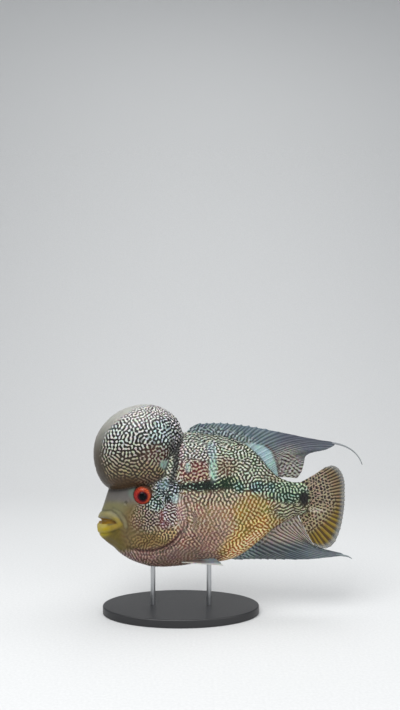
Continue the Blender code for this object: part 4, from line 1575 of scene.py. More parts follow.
@dataclass
class ScaleCoat:
    """Overlapping scales on the flanks, from the gill slit to the tail fin."""

    overlap: float = 1.75  # a scale's length over the pitch
    breadth: float = 0.92  # its half breadth over the pitch
    side_round: float = 0.42  # how far its corners are drawn in along the fish
    edge_round: float = 0.55  # and across it at the free edge
    root_taper: float = 0.12
    first_x: float = 48.0  # of the foremost column that can hold scales
    last_x: float = 209.0
    most_girth: float = 95.0  # past which there are no more rows
    crown: float = 0.12  # how far the middle of the free edge stands over its corners
    lift: float = 0.32  # of the free edge over the skin
    sink: float = 0.30  # of the root under it
    thickness: float = 0.16
    jitter: float = 0.06  # how far the scales' lengths differ
    edge_shade: float = 0.16  # how far their free edges darken
    patch: float = 0.003  # size of a scale's place on the UV map
    map_span: tuple[float, float] = (230.0, 420.0)  # millimetres of the fish across that map
    gill_edge: Pairs = (
        (88.0, 90.0), (88.0, 60.0), (81.0, 32.0), (83.0, 14.0), (90.0, 2.0), (93.5, -12.0),
        (93.5, -26.0), (89.0, -38.0), (79.0, -48.0), (64.0, -55.0), (50.0, -60.0), (46.0, -80.0),
    )

    def template(self) -> tuple[Array, list[tuple[int, ...]]]:
        """One closed scale: along and across from -1 to 1, and 1 or 0 for its two faces.

        Returns:
            Rows of along, across and face, and the faces as corners.
        """
        shape = bmesh.new()
        bmesh.ops.create_grid(shape, x_segments=4, y_segments=4, size=1.0)
        pushed = bmesh.ops.extrude_face_region(shape, geom=list(shape.faces))["geom"]
        top = [g for g in pushed if isinstance(g, bmesh.types.BMVert)]
        bmesh.ops.translate(shape, verts=top, vec=(0, 0, 1))
        bmesh.ops.recalc_face_normals(shape, faces=shape.faces)
        shape.verts.index_update()
        rows = np.array([v.co for v in shape.verts])
        faces = [tuple(v.index for v in f.verts) for f in shape.faces]
        shape.free()
        u, v = rows[:, 0].copy(), rows[:, 1].copy()
        rows[:, 0] = u * np.sqrt(1 - v * v * self.side_round)
        taper = 1 - self.root_taper * np.clip(-u, 0, 1)
        rows[:, 1] = v * np.sqrt(1 - np.clip(u, 0, 1) ** 2 * self.edge_round) * taper
        return rows, faces

    def lattice(self) -> Array:
        """The middles of the scales: distance back and girth.

        Returns:
            A row for each scale.
        """
        rows = []
        count = int(self.most_girth / SCALE_PITCH)
        first, last = int(self.first_x / SCALE_PITCH), int(self.last_x / SCALE_PITCH)
        for j in range(-count, count + 1):
            shift = 0.5 * (j % 2)
            for i in range(first, last + 1):
                rows.append(((i + 0.5 - shift) * SCALE_PITCH, (j + 0.5) * SCALE_PITCH))
        return np.array(rows)

    def on_trunk(self, x: Array, girth: Array) -> tuple[Array, Array, Array]:
        """Finds the skin's points at distances back and round the girth.

        Args:
            x: distances back from the lips.
            girth: distances round the girth, as the trunk measures them.

        Returns:
            The right side's points, their outward normals, and whether each lies on the side.
        """
        columns = 260
        angles = np.linspace(0.0, math.pi, 181)
        grid_x = np.linspace(x.min() - 1, min(x.max() + 1, TRUNK.stations[-1][0] - 0.1), columns)
        table = TRUNK.point(grid_x[:, None] + 0 * angles, angles[None, :] + 0 * grid_x[:, None])
        measure = TRUNK.girth(table[..., 0], table[..., 1], table[..., 2])
        row = np.round((x - grid_x[0]) / (grid_x[1] - grid_x[0])).astype(int)
        row = np.clip(row, 0, columns - 1)
        found = np.empty(len(x))
        for r in np.unique(row):
            pick = row == r
            found[pick] = np.interp(-girth[pick], -measure[r], angles)
        top, bottom = measure[row, 0], measure[row, -1]
        fits = (girth < top) & (girth > bottom)
        step = 0.02
        here = TRUNK.point(x, found)
        ahead = TRUNK.point(x + step * 10, found) - TRUNK.point(x - step * 10, found)
        round_ = TRUNK.point(x, found + step) - TRUNK.point(x, found - step)
        normal = np.cross(round_, ahead)
        normal /= np.linalg.norm(normal, axis=1)[:, None]
        normal *= np.where(normal[:, 1] < 0, -1.0, 1.0)[:, None]
        return here, normal, fits

    def placed(self) -> Array:
        """The lattice without the scales that have no skin under them.

        Returns:
            A row for each scale.
        """
        spots = self.lattice()
        here, _, fits = self.on_trunk(spots[:, 0], spots[:, 1])
        block = [(-10.0, 90.0), *self.gill_edge, (-10.0, -80.0)]
        behind = inside_distance(*VIEW.project(here), block) < -0.3
        keep = fits & behind & (spots[:, 0] < self.last_x) & (here[:, 1] > 0.6)
        return spots[keep]

    def build(self, side: Side) -> Piece:
        """Builds the coat of one side.

        Args:
            side: the side of the fish.

        Returns:
            The coat.
        """
        rows, faces = self.template()
        spots = self.placed()
        half = np.array([self.overlap / 2, self.breadth]) * SCALE_PITCH
        jitter = np.sin(spots[:, :1] * 12.9 + spots[:, 1:2] * 7.7) * self.jitter + 1.0
        size = 1.0 - 0.18 * smooth(185.0, self.last_x, spots[:, 0])[:, None]
        along = spots[:, :1] - SCALE_PITCH * 0.2 + rows[None, :, 0] * half[0] * jitter * size
        round_ = spots[:, 1:2] + rows[None, :, 1] * half[1]
        here, normal, _ = self.on_trunk(along.ravel(), round_.ravel())
        free = np.tile((rows[:, 0] + 1) / 2, len(spots))
        up = np.tile(rows[:, 2], len(spots))
        height = -self.sink + (self.sink + self.lift) * free**1.3 + self.thickness * up
        height += self.crown * (1 - np.tile(rows[:, 1], len(spots)) ** 2) * free
        points = here + normal * height[:, None]
        points[:, 1] = np.maximum(points[:, 1], 0.05)
        painted = here.copy()
        points[:, 1] *= side.value
        painted[:, 1] *= side.value
        count = len(rows)
        mesh = bpy.data.meshes.new(f"scales_{side.word}")
        corners = np.array([list(f) for f in faces])
        if side is Side.RIGHT:  # the lattice is seen from inside there
            corners = corners[:, ::-1]
        every = (corners[None] + count * np.arange(len(spots))[:, None, None]).reshape(-1, 4)
        mesh.from_pydata(to_frame(points).tolist(), [], every.tolist())
        mesh.polygons.foreach_set("use_smooth", np.ones(len(mesh.polygons), bool))
        coat = in_scene(mesh.name, mesh)
        made, flat = MARKINGS.paint(painted)
        tip = np.exp(-(((free - 0.97) / 0.06) ** 2)) * self.edge_shade
        made.shade(1.0 - tip)
        store_paint(mesh, made, flat, np.tile([1.0, 0.0, 0.0], (len(points), 1)))
        self.unwrap(mesh, spots, rows, side)
        mesh.materials.append(LabyrinthFinish("scale_coat_" + side.word, Layer.SCALE).make())
        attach(coat, "root")
        return coat

    def unwrap(self, mesh: bpy.types.Mesh, spots: Array, rows: Array, side: Side) -> None:
        """Lays each scale as a small patch at its root's place on the skin laid flat.

        Args:
            mesh: the coat.
            spots: the scales' places.
            rows: the template's rows.
            side: the side of the fish.
        """
        base = spots / np.array(self.map_span) + np.array([0.0, 0.25])
        if side is Side.RIGHT:
            base[:, 1] += 0.5
        patch = (rows[:, :2] * np.where(rows[:, 2:] > 0.5, 0.5, 0.42))[None] * self.patch
        uv = (base[:, None, :] + patch).reshape(-1, 2)
        layer = mesh.uv_layers.new(name="OFBake")
        corner = np.empty(len(mesh.loops), np.int32)
        mesh.loops.foreach_get("vertex_index", corner)
        layer.data.foreach_set("uv", uv[corner].astype(np.float32).ravel())


# Eyes


@dataclass(frozen=True)
class Eye:
    """An eye with a bulging lens, set in its socket."""

    centre: Place = (47.7, 19.4, 8.7)
    radii: Place = (9.6, 6.2, 9.6)
    turn: float = math.radians(9.0)
    seat: float = 0.15  # how far it reaches into the skin round it
    lens_radius: float = 3.6
    lens_rise: float = 0.7

    def middle(self, side: Side) -> Place:
        """The eye's middle on one side."""
        return self.centre[0], self.centre[1] * side.value, self.centre[2]

    def socket(self, side: Side) -> Piece:
        """The cutter that opens the socket."""
        radii = [r - self.seat for r in self.radii]
        return ball("socket", self.middle(side), radii, side.value * self.turn, 40)

    def build(self, side: Side) -> Piece:
        """Builds one eye.

        Args:
            side: the side of the fish.

        Returns:
            The eye.
        """
        name = f"eye_ball_{side.word}"
        eye = ball(name, self.middle(side), self.radii, side.value * self.turn, 72)
        points = to_fish(points_of(eye.data))
        away = points - np.array(self.middle(side))
        axis = np.array([-math.sin(self.turn), side.value * math.cos(self.turn), 0.0])
        out = away @ axis
        flat = np.linalg.norm(away - out[:, None] * axis, axis=1)
        bulge = self.lens_rise * smooth(self.lens_radius + 0.5, self.lens_radius - 1.6, flat) * (out > 0)
        points += axis * bulge[:, None]
        set_points(eye.data, to_frame(points))
        seen = np.array(self.middle(side)) + axis * self.radii[1]
        middle = to_frame(seen[None])[0]
        eye.data.materials.append(EyeFinish((middle[0], middle[2])).make(name))
        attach(eye, "root")
        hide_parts(f"eye_{side.word}")
        return eye


EYE = Eye()


# Fins


@dataclass
class FinPlaces:
    """Where a fin's vertices lie, and how much of each kind of marking they show."""

    x: Array
    z: Array
    share: Array  # of the root
    along: Array  # share of the ray's length
    out: Array  # distance from the root, in millimetres

    def __post_init__(self) -> None:
        """Starts with even streaks and nothing else."""
        self.winding = 0 * self.x
        self.streaks = 0 * self.x + 1.0
        self.clear = 0 * self.x
        self.split = smooth(0.35, 0.75, self.along)


@dataclass
class Fin:
    """A fin: rays that fan out from a root, with a thin membrane between them."""

    name: str
    node: str
    root: Root
    place: Callable[[Array, Array, Array, Array], Array]
    paint: Callable[[FinPlaces], Painted]
    rays: int
    lengths: Pairs
    angles: Pairs
    bends: Pairs
    free_tips: Pairs  # how far the rays stand out past the membrane
    spread: Pairs = ((0.0, 0.0), (1.0, 1.0))  # share of the root against share of the rays
    root_ray: float = 1.9  # thickness of the rays at the root
    tip_ray: float = 0.55
    ray_breadth: float = 0.17  # share of the way to the next ray
    membrane: float = 0.34  # its thickness as a share of the rays'
    root_depth: float = 4.0
    columns: int = 6  # of faces from ray to ray
    rows: int = 44
    wave: float = 0.9
    see_through: bool = False

    def ray_points(self, share: Array, along: Array, extra: Array) -> Array:
        """Points of the fin in its own plane.

        Args:
            share: the share along the root.
            along: the share of the ray's length.
            extra: what is added to that length, in millimetres.

        Returns:
            Rows of x and z.
        """
        root_x, root_z = self.root(share)
        length = between(self.lengths, share) + extra
        bend = np.radians(between(self.bends, share))
        first = np.radians(between(self.angles, share)) + bend / 2
        reach = self.root_depth + length * along
        x = root_x - self.root_depth * np.cos(first)
        z = root_z - self.root_depth * np.sin(first)
        steps = 24
        for i in range(steps):
            done = (i + 0.5) / steps * reach
            turn = first - bend * np.maximum(0.0, done - self.root_depth) / length
            x = x + np.cos(turn) * reach / steps
            z = z + np.sin(turn) * reach / steps
        return np.stack([x, z], -1)

    def build(self) -> Piece:
        """Builds the fin.

        Returns:
            The fin.
        """
        across = (self.rays - 1) * self.columns
        shape = bmesh.new()
        bmesh.ops.create_grid(shape, x_segments=across, y_segments=self.rows, size=0.5)
        bmesh.ops.triangulate(shape, faces=shape.faces)
        grid = np.array([v.co for v in shape.verts])
        mesh = bpy.data.meshes.new(self.name)
        shape.to_mesh(mesh)
        shape.free()
        counted, along = grid[:, 0] + 0.5, grid[:, 1] + 0.5
        share = between(self.spread, counted)
        count = counted * (self.rays - 1)
        to_ray = np.abs(count - np.round(count))
        on_ray = np.exp(-((to_ray / self.ray_breadth) ** 2))
        scallop = np.clip(np.cos(2 * math.pi * to_ray), 0, 1) ** 2
        extra = between(self.free_tips, share) * scallop * smooth(0.8, 1.0, along)
        flat = self.ray_points(share, along, extra)
        points = self.place(flat[:, 0], flat[:, 1], share, along)
        ripple = self.wave * along**1.5 * np.sin(2 * math.pi * (share * 2.6 + along * 0.5))
        points[:, 1] += ripple
        set_points(mesh, to_frame(points))
        fin = in_scene(self.name, mesh)
        spots = FinPlaces(flat[:, 0], flat[:, 1], share, along, along * between(self.lengths, share))
        made = self.paint(spots)
        lie = np.stack([flat[:, 0] * MM, flat[:, 1] * MM, 0 * along], -1)
        store_paint(mesh, made, lie, np.stack([spots.winding, spots.streaks, spots.clear], -1))
        put_vectors(mesh, "ray", np.stack([count, spots.out * MM, spots.split], -1))
        thick = self.root_ray + (self.tip_ray - self.root_ray) * np.clip(along, 0, 1) ** 0.7
        weights = thick / self.root_ray * (self.membrane + (1 - self.membrane) * on_ray)
        group = fin.vertex_groups.new(name="thickness")
        for index, weight in enumerate(weights):
            group.add([index], float(min(1.0, max(0.0, weight))), "REPLACE")
        solid = fin.modifiers.new("solid", "SOLIDIFY")
        solid.thickness = self.root_ray * MM
        solid.offset = 0.0
        solid.vertex_group = "thickness"
        solid.thickness_vertex_group = 0.0
        solid.use_rim = True
        apply_all(fin)
        fin.vertex_groups.clear()
        mesh = fin.data
        mesh.polygons.foreach_set("use_smooth", np.ones(len(mesh.polygons), bool))
        finish = LabyrinthFinish(
            self.name, Layer.FIN, crispness=0.1, see_through=self.see_through, roughness=0.4
        )
        mesh.materials.clear()
        mesh.materials.append(finish.make())
        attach(fin, "root")
        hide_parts(self.node)
        return fin

    def filament(
        self, name: str, share: float, length: float, angle: float, bend: float, colour: Colour
    ) -> Piece:
        """The free, tapering end of a ray.

        Args:
            name: the object's name.
            share: the ray's share along the root.
            length: the free length in millimetres.
            angle: the angle over the level where it starts, in degrees.
            bend: how far it bends down by its tip, in degrees.
            colour: its colour.

        Returns:
            The filament.
        """
        inner, steps = 6, 26
        alongs = np.linspace(0.90, 1.0, inner)
        inside = self.ray_points(np.full(inner, share), alongs, np.zeros(inner))
        path = [tuple(p) for p in inside]
        x, z = path[-1]
        for i in range(steps):
            turn = math.radians(angle - bend * ((i + 0.5) / steps) ** 1.3)
            x += math.cos(turn) * length / steps
            z += math.sin(turn) * length / steps
            path.append((x, z))
        flat = np.array(path)
        full = np.full(len(flat), share)
        points = self.place(flat[:, 0], flat[:, 1], full, np.ones(len(flat)))
        radii = np.concatenate([np.linspace(0.3, 1.05, inner), np.linspace(1.0, 0.4, steps)])
        made = swept(name, points, radii, 10)
        paint = Painted.plain(len(made.data.vertices), colour, colour)
        zero = np.zeros((len(made.data.vertices), 3))
        store_paint(made.data, paint, zero, zero)
        put_vectors(made.data, "ray", zero)
        made.data.materials.append(LabyrinthFinish(name, Layer.FIN).make())
        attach(made, "root")
        return made


STRAIGHT: Pairs = ((0.0, 0.0), (1.0, 0.0))

REAR_WINDING = Mark("rear_winding", 191, 34, 17, 18, (46, 32, 28), (152, 152, 144), grain=0.35, course=12,
                    soft=0.9, pitch=3.3)
TAIL_STRIPE = Mark("tail_stripe", 214.0, -9.5, 13.0, 2.4, (92, 76, 60), (186, 176, 160), tilt=-8,
                   share=-0.05, soft=0.9, cover=0.8)
TAIL_ROOT_SPOT = Mark("tail_root_spot", 207.0, 1.4, 4.4, 6.8, (7, 5, 3), (24, 22, 20), share=0.3, soft=0.8)


def in_middle(x: Array, z: Array, share: Array, along: Array) -> Array:
    """Leaves a fin in the fish's middle plane."""
    return np.stack([x, 0 * x, z], -1)


def along_back(first: float, last: float) -> Root:
    """The root of a fin on the back between two distances from the lips."""
    return lambda share: (first + (last - first) * share, TRUNK.back(first + (last - first) * share))


def along_belly(first: float, last: float) -> Root:
    """The root of a fin on the belly between two distances from the lips."""
    return lambda share: (first + (last - first) * share, TRUNK.belly(first + (last - first) * share))


@dataclass
class MiddleFins:
    """Dorsal, anal and tail fins."""

    dorsal_root: tuple[float, float] = (89.0, 181.0)
    anal_root: tuple[float, float] = (133.0, 200.6)
    tail_root_x: float = 201.6
    tail_root_bow: float = 9.9
    tail_root_low: float = -16.0
    tail_root_height: float = 32.5
    sheath: Pairs = ((147.0, 56.0), (156.0, 56.5), (166.0, 54.0), (173.5, 48.5), (178.0, 38.0),
                     (181.0, 22.0), (176.0, 22.0), (164.0, 34.0), (154.0, 46.0))
    seam: Pairs = ((169.0, 55.0), (175.5, 49.5), (179.8, 38.0), (182.2, 23.0))

    def dorsal_paint(self, at: FinPlaces) -> Painted:
        """Blue-grey, with the body's lines at its base, a pale sheath and rosy rear streaks.

        Args:
            at: the fin's places.

        Returns:
            The painted values.
        """
        made = Painted.plain(len(at.x), (58, 74, 80), (102, 116, 122))
        made.wash("margin", 0.7 * smooth(0.6, 1.0, at.along), (78, 92, 102), (102, 116, 124))
        made.wash("stream", smooth(164.0, 192.0, at.x), (62, 66, 76), (80, 84, 94))
        front = smooth(13.0, 5.0, at.out) * smooth(176.0, 156.0, at.x)
        made.wash("base", front, (52, 62, 64), (146, 160, 160), share=0.02, pitch=3.0)
        soft = smooth(0.80, 0.9, at.share)
        made.wash("soft", 0.7 * soft, (60, 66, 72), (108, 114, 120))
        wound = REAR_WINDING.weight(at.x, at.z)
        made.lay(REAR_WINDING, wound)
        seam = smooth(1.5, 0.4, line_distance(at.x, at.z, self.seam))
        made.wash("seam", seam, (56, 40, 40), (96, 92, 90))
        sheath = smooth(-1.5, 1.0, inside_distance(at.x, at.z, self.sheath))
        made.wash("sheath", sheath, (128, 150, 154), (150, 174, 176))
        bare = 1.0 - sheath
        at.winding = np.clip(0.9 * front + wound * smooth(34.0, 18.0, at.out), 0, 1) * bare
        at.streaks = (1.0 - 0.75 * front) * (1.0 - 0.9 * sheath) * (1.0 - 0.8 * wound)
        at.split = np.maximum(np.maximum(at.split, soft), smooth(0.5, 0.75, at.share))
        return made

    def anal_paint(self, at: FinPlaces) -> Painted:
        """Cream and rusty streaks at the base, blue-grey towards the front and the margin.

        Args:
            at: the fin's places.

        Returns:
            The painted values.
        """
        made = Painted.plain(len(at.x), (68, 76, 82), (108, 116, 120))
        made.wash("base", smooth(46.0, 20.0, at.out), (74, 62, 50), (160, 148, 136), share=-0.03)
        low = smooth(-36.0, -48.0, at.z) * smooth(222.0, 196.0, at.x)
        made.wash("low", 0.85 * low, (24, 38, 46), (74, 88, 94))
        made.wash("front", 0.8 * smooth(166.0, 150.0, at.x), (44, 62, 70), (150, 166, 166))
        rim = smooth(0.95, 1.0, at.along) * smooth(0.66, 0.6, at.share)
        made.wash("rim", 0.8 * rim, (44, 62, 74), (70, 90, 100))
        at.winding = 0.6 * smooth(12.0, 4.0, at.out)
        at.streaks = 1.0 - 0.4 * smooth(12.0, 4.0, at.out)
        at.clear = 0.16 * smooth(0.6, 1.0, at.along)
        return made

    def tail_paint(self, at: FinPlaces) -> Painted:
        """A pale net with brown dots, then golden streaks, and a clear margin.

        Args:
            at: the fin's places.

        Returns:
            The painted values.
        """
        made = Painted.plain(len(at.x), (50, 32, 8), (124, 106, 76))
        low = smooth(4.0, -14.0, at.z)
        made.wash("gold", 0.95 * low, (66, 46, 0), (122, 100, 14))
        centre = np.exp(-(((at.share - 0.45) / 0.2) ** 2))
        net = smooth(25.0, 13.0, at.out - 7.0 * centre - 7.0 * smooth(0.6, 0.8, at.share))
        made.wash("net", net, (22, 10, 2), (144, 130, 108), locked=1.0)
        made.wash("net_low", 0.8 * net * low, (52, 32, 2), (150, 136, 106), locked=1.0)
        margin = smooth(0.82, 0.97, at.along)
        made.wash("margin", margin, (72, 74, 72), (110, 106, 94))
        for mark in (TAIL_STRIPE, TAIL_ROOT_SPOT):
            made.lay(mark, mark.weight(at.x, at.z))
        at.winding = 0.3 * net
        at.streaks = (1 - 0.7 * net) * (1 - 0.5 * margin)
        at.clear = 0.42 * margin
        at.split = 0 * at.out
        return made

    def tail_root(self, share: Array) -> tuple[Array, Array]:
        """The bowed root of the tail fin."""
        bow = np.sin(math.pi * np.clip(share, 0, 1)) ** 0.8
        return self.tail_root_x + self.tail_root_bow * bow, self.tail_root_low + self.tail_root_height * share

    def dorsal(self) -> Fin:
        """The dorsal fin.

        Returns:
            The fin.
        """
        return Fin(
            "dorsal_sail", "dorsal_fin", along_back(*self.dorsal_root), in_middle, self.dorsal_paint, 26,
            lengths=((0.0, 5.5), (0.03, 10.5), (0.06, 11.7), (0.1, 12.2), (0.15, 13.2), (0.2, 14.0),
                     (0.3, 15.2), (0.4, 16.4), (0.5, 18.2), (0.6, 22.0), (0.66, 27.6), (0.7, 33.6),
                     (0.73, 41.5), (0.76, 51.5), (0.79, 62.5), (0.828, 75.5), (0.862, 65.0),
                     (0.897, 55.0), (0.931, 39.0), (0.966, 31.5), (1.0, 19.0)),
            angles=((0.0, 48.0), (0.1, 49.0), (0.4, 46.0), (0.6, 41.0), (0.66, 34.0), (0.7, 29.0),
                    (0.76, 18.5), (0.828, 13.2), (0.862, 14.0), (0.897, 18.5), (0.931, 25.0),
                    (0.966, 22.0), (1.0, -4.0)),
            bends=((0.0, 4.0), (0.6, 8.0), (0.7, 22.0), (0.8, 34.0), (0.9, 34.0), (1.0, 10.0)),
            free_tips=((0.0, 1.4), (0.5, 1.6), (0.62, 1.2), (0.7, 0.3), (1.0, 0.3)),
            spread=((0.0, 0.0), (0.5, 0.76), (1.0, 1.0)), columns=8,
        )

    def anal(self) -> Fin:
        """The anal fin.

        Returns:
            The fin.
        """
        return Fin(
            "anal_sail", "anal_fin", along_belly(*self.anal_root), in_middle, self.anal_paint, 22,
            lengths=((0.0, 4.2), (0.083, 11.0), (0.167, 16.5), (0.25, 24.0), (0.352, 36.5), (0.416, 49.5),
                     (0.5, 64.0), (0.546, 72.5), (0.592, 78.0), (0.648, 73.0), (0.703, 65.5), (0.759, 57.5),
                     (0.814, 48.9), (0.87, 38.7), (0.925, 25.9), (0.96, 19.3), (1.0, 9.9)),
            angles=((0.0, -17.0), (0.083, -14.0), (0.167, -20.0), (0.25, -24.5), (0.352, -24.5),
                    (0.416, -22.0), (0.5, -20.0), (0.546, -19.0), (0.592, -18.9), (0.648, -21.0),
                    (0.703, -25.0), (0.759, -30.4), (0.814, -38.7), (0.87, -47.4), (0.897, -49.2),
                    (0.925, -51.0), (0.942, -52.6), (0.96, -54.8), (0.98, -57.7), (1.0, -62.7)),
            bends=((0.0, -4.0), (0.28, -12.0), (0.555, -20.0), (0.648, -26.0), (0.786, -30.0),
                   (0.87, -18.0), (0.925, -10.0), (1.0, -4.0)),
            free_tips=((0.0, 1.4), (0.3, 1.6), (0.45, 0.3), (1.0, 0.2)),
            columns=8, see_through=True,
        )

    def tail(self) -> Fin:
        """The tail fin.

        Returns:
            The fin.
        """
        return Fin(
            "tail_fan", "caudal_fin", self.tail_root, in_middle, self.tail_paint, 25,
            lengths=((0.0, 33.8), (0.07, 41.1), (0.14, 43.8), (0.22, 41.2), (0.3, 38.4), (0.4, 36.3),
                     (0.5, 35.8), (0.6, 36.9), (0.7, 39.2), (0.8, 40.2), (0.88, 39.8), (0.95, 36.5),
                     (1.0, 30.5)),
            angles=((0.0, -62.1), (0.07, -57.1), (0.14, -49.0), (0.22, -36.0), (0.3, -24.2), (0.4, -12.7),
                    (0.5, -0.4), (0.6, 8.6), (0.7, 16.7), (0.8, 23.5), (0.88, 29.2), (0.95, 32.5),
                    (1.0, 31.6)),
            bends=((0.0, -8.0), (0.3, 0.0), (0.8, 0.0), (1.0, -8.0)),
            free_tips=((0.0, 0.4), (1.0, 0.4)),
            root_ray=2.4, wave=1.0, see_through=True,
        )

    def build(self) -> list[Piece]:
        """Builds the fins and their trailing filaments.

        Returns:
            The pieces.
        """
        dorsal, anal, tail = self.dorsal(), self.anal(), self.tail()
        made = [dorsal.build(), anal.build(), tail.build()]
        made.append(dorsal.filament("dorsal_streamer", 0.828, 37.0, -10.0, 64.0, (128, 132, 134)))
        made.append(anal.filament("anal_streamer", 0.592, 9.0, -6.0, 34.0, (112, 120, 122)))
        return made


@dataclass
class PairedFins:
    """Pectoral and pelvic fins of both sides."""

    pectoral_root: tuple[float, float] = (95.5, -14.0)
    pectoral_span: float = 13.0
    pectoral_flare: float = math.radians(24.0)
    pectoral_curl: float = 0.0036  # back towards the flank, by the square of the distance out
    pelvic_root: tuple[float, float] = (85.0, -55.5)
    pelvic_span: float = 7.0
    pelvic_spread: float = 13.5
    pelvic_flare: float = math.radians(2.0)
    pelvic_roll: float = math.radians(52.0)

    def pectoral_paint(self, at: FinPlaces) -> Painted:
        """Nearly clear, with pale rays and faint arcs.

        Args:
            at: the fin's places.

        Returns:
            The painted values.
        """
        made = Painted.plain(len(at.x), (128, 104, 84), (176, 154, 134))
        made.wash("root", smooth(6.0, 2.0, at.out), (122, 98, 86), (160, 140, 126))
        arcs = 0.5 + 0.5 * np.cos(2 * math.pi * at.out / 7.0)
        at.clear = (0.93 - 0.08 * arcs) * smooth(0.5, 5.0, at.out)
        return made

    def pelvic_paint(self, at: FinPlaces) -> Painted:
        """Dark, with a white leading ray and bluish ends.

        Args:
            at: the fin's places.

        Returns:
            The painted values.
        """
        made = Painted.plain(len(at.x), (64, 54, 50), (110, 98, 92))
        made.wash("ends", smooth(0.5, 0.8, at.along), (90, 100, 104), (136, 146, 148))
        made.wash("lead", smooth(0.14, 0.03, at.share), (170, 168, 162), (214, 212, 206))
        return made

    def pectoral(self, side: Side) -> Fin:
        """One pectoral fin.

        Args:
            side: the side of the fish.

        Returns:
            The fin.
        """
        root_x, root_z = self.pectoral_root
        skin_y = TRUNK.side_at(root_x, root_z)

        def root(share: Array) -> tuple[Array, Array]:
            """The short bowed root."""
            return 1.5 * np.sin(math.pi * share), self.pectoral_span * (share - 0.5)

        def place(x: Array, z: Array, share: Array, along: Array) -> Array:
            """Sets the fin on the flank, flaring away from it."""
            y = skin_y + x * math.sin(self.pectoral_flare) - self.pectoral_curl * np.maximum(0.0, x) ** 2
            return np.stack([root_x + x * math.cos(self.pectoral_flare), side.value * y, root_z + z], -1)

        return Fin(
            f"pectoral_{side.word}", f"pectoral_fin_{side.word}", root, place, self.pectoral_paint, 12,
            lengths=((0.0, 26.0), (0.35, 40.0), (0.6, 43.0), (1.0, 28.0)),
            angles=((0.0, -62.0), (0.5, -16.0), (1.0, 28.0)), bends=STRAIGHT,
            free_tips=((0.0, 0.5), (1.0, 0.5)), root_ray=1.8, rows=28, wave=0.5, see_through=True,
        )

    def pelvic(self, side: Side) -> Fin:
        """One pelvic fin.

        Args:
            side: the side of the fish.

        Returns:
            The fin.
        """
        root_x, root_z = self.pelvic_root
        up, across = math.sin(self.pelvic_roll), math.cos(self.pelvic_roll)

        def root(share: Array) -> tuple[Array, Array]:
            """The short root."""
            return 1.0 * share, self.pelvic_span * (share - 0.5)

        def place(x: Array, z: Array, share: Array, along: Array) -> Array:
            """Sets the fin under the belly, rolled out to its side."""
            y = side.value * (self.pelvic_spread + (x * math.sin(self.pelvic_flare) - z * across))
            return np.stack([root_x + x, y, root_z + z * up], -1)

        return Fin(
            f"pelvic_{side.word}", f"pelvic_fin_{side.word}", root, place, self.pelvic_paint, 7,
            lengths=((0.0, 41.0), (0.35, 33.0), (1.0, 16.0)),
            angles=((0.0, -4.0), (1.0, 14.0)), bends=STRAIGHT,
            free_tips=((0.0, 1.0), (1.0, 0.4)), rows=32, wave=0.4,
        )

    def build(self) -> list[Piece]:
        """Builds the four fins.

        Returns:
            The fins.
        """
        made = []
        for side in Side:
            made += [self.pectoral(side).build(), self.pelvic(side).build()]
        return made


# Stand and stage


@dataclass
class Stand:
    """The plain oval base and its two rods."""

    length: float = 156.0
    width: float = 92.0
    height: float = 8.0
    edge: float = 1.2  # how far the plate's edges are rounded
    rod_radius: float = 2.4
    rod_reach: float = 1.0  # into the belly
    rod_seat: float = 0.5  # into the base
    rods: tuple[float, float] = (56.0, 112.0)

    def base(self) -> Piece:
        """The oval plate with a rounded edge.

        Returns:
            The plate.
        """
        shape = bmesh.new()
        bmesh.ops.create_cone(
            shape, cap_ends=True, segments=128, radius1=0.5, radius2=0.5, depth=self.height * MM
        )
        size = Vector((self.length * MM, self.width * MM, 1.0))
        bmesh.ops.scale(shape, verts=shape.verts, vec=size)
        move = Vector(((BALANCE_X - MIDDLE_X) * MM, 0, self.height / 2 * MM))
        bmesh.ops.translate(shape, verts=shape.verts, vec=move)
        rims = [e for e in shape.edges if len({round(v.co.z, 5) for v in e.verts}) == 1]
        bmesh.ops.bevel(
            shape, geom=rims, offset=self.edge * MM, segments=4, profile=0.5, affect="EDGES", material=-1
        )
        made = finished("display_base", shape)
        made.data.materials.append(PlainFinish("base_lacquer", (34, 34, 36), 0.42, grain=900.0).make())
        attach(made, "root")
        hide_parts("stand_base")
        return made

    def rod(self, number: int, x: float) -> Piece:
        """One rod from the base into the belly.

        Args:
            number: its number from the front.
            x: its distance back from the lips.

        Returns:
            The rod.
        """
        top = MIDLINE_HEIGHT + float(TRUNK.belly(x)) + self.rod_reach
        foot = self.height - self.rod_seat
        shape = bmesh.new()
        bmesh.ops.create_cone(
            shape, cap_ends=True, segments=40, radius1=self.rod_radius * MM,
            radius2=self.rod_radius * MM, depth=(top - foot) * MM,
        )
        move = Vector(((x - MIDDLE_X) * MM, 0, (top + foot) / 2 * MM))
        bmesh.ops.translate(shape, verts=shape.verts, vec=move)
        made = finished(f"display_rod_{number}", shape)
        made.data.materials.append(
            PlainFinish(f"rod_steel_{number}", (176, 178, 180), 0.3, 1.0, 1500.0).make()
        )
        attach(made, "root")
        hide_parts(f"stand_rod_{number}")
        return made

    def build(self) -> list[Piece]:
        """Builds base and rods.

        Returns:
            The pieces.
        """
        made = [self.base()]
        made += [self.rod(i, x) for i, x in enumerate(self.rods, start=1)]
        for piece in made:
            edges = piece.modifiers.new("edges", "WEIGHTED_NORMAL")
            edges.keep_sharp = True
            piece.data.set_sharp_from_angle(angle=math.radians(35.0))
        return made


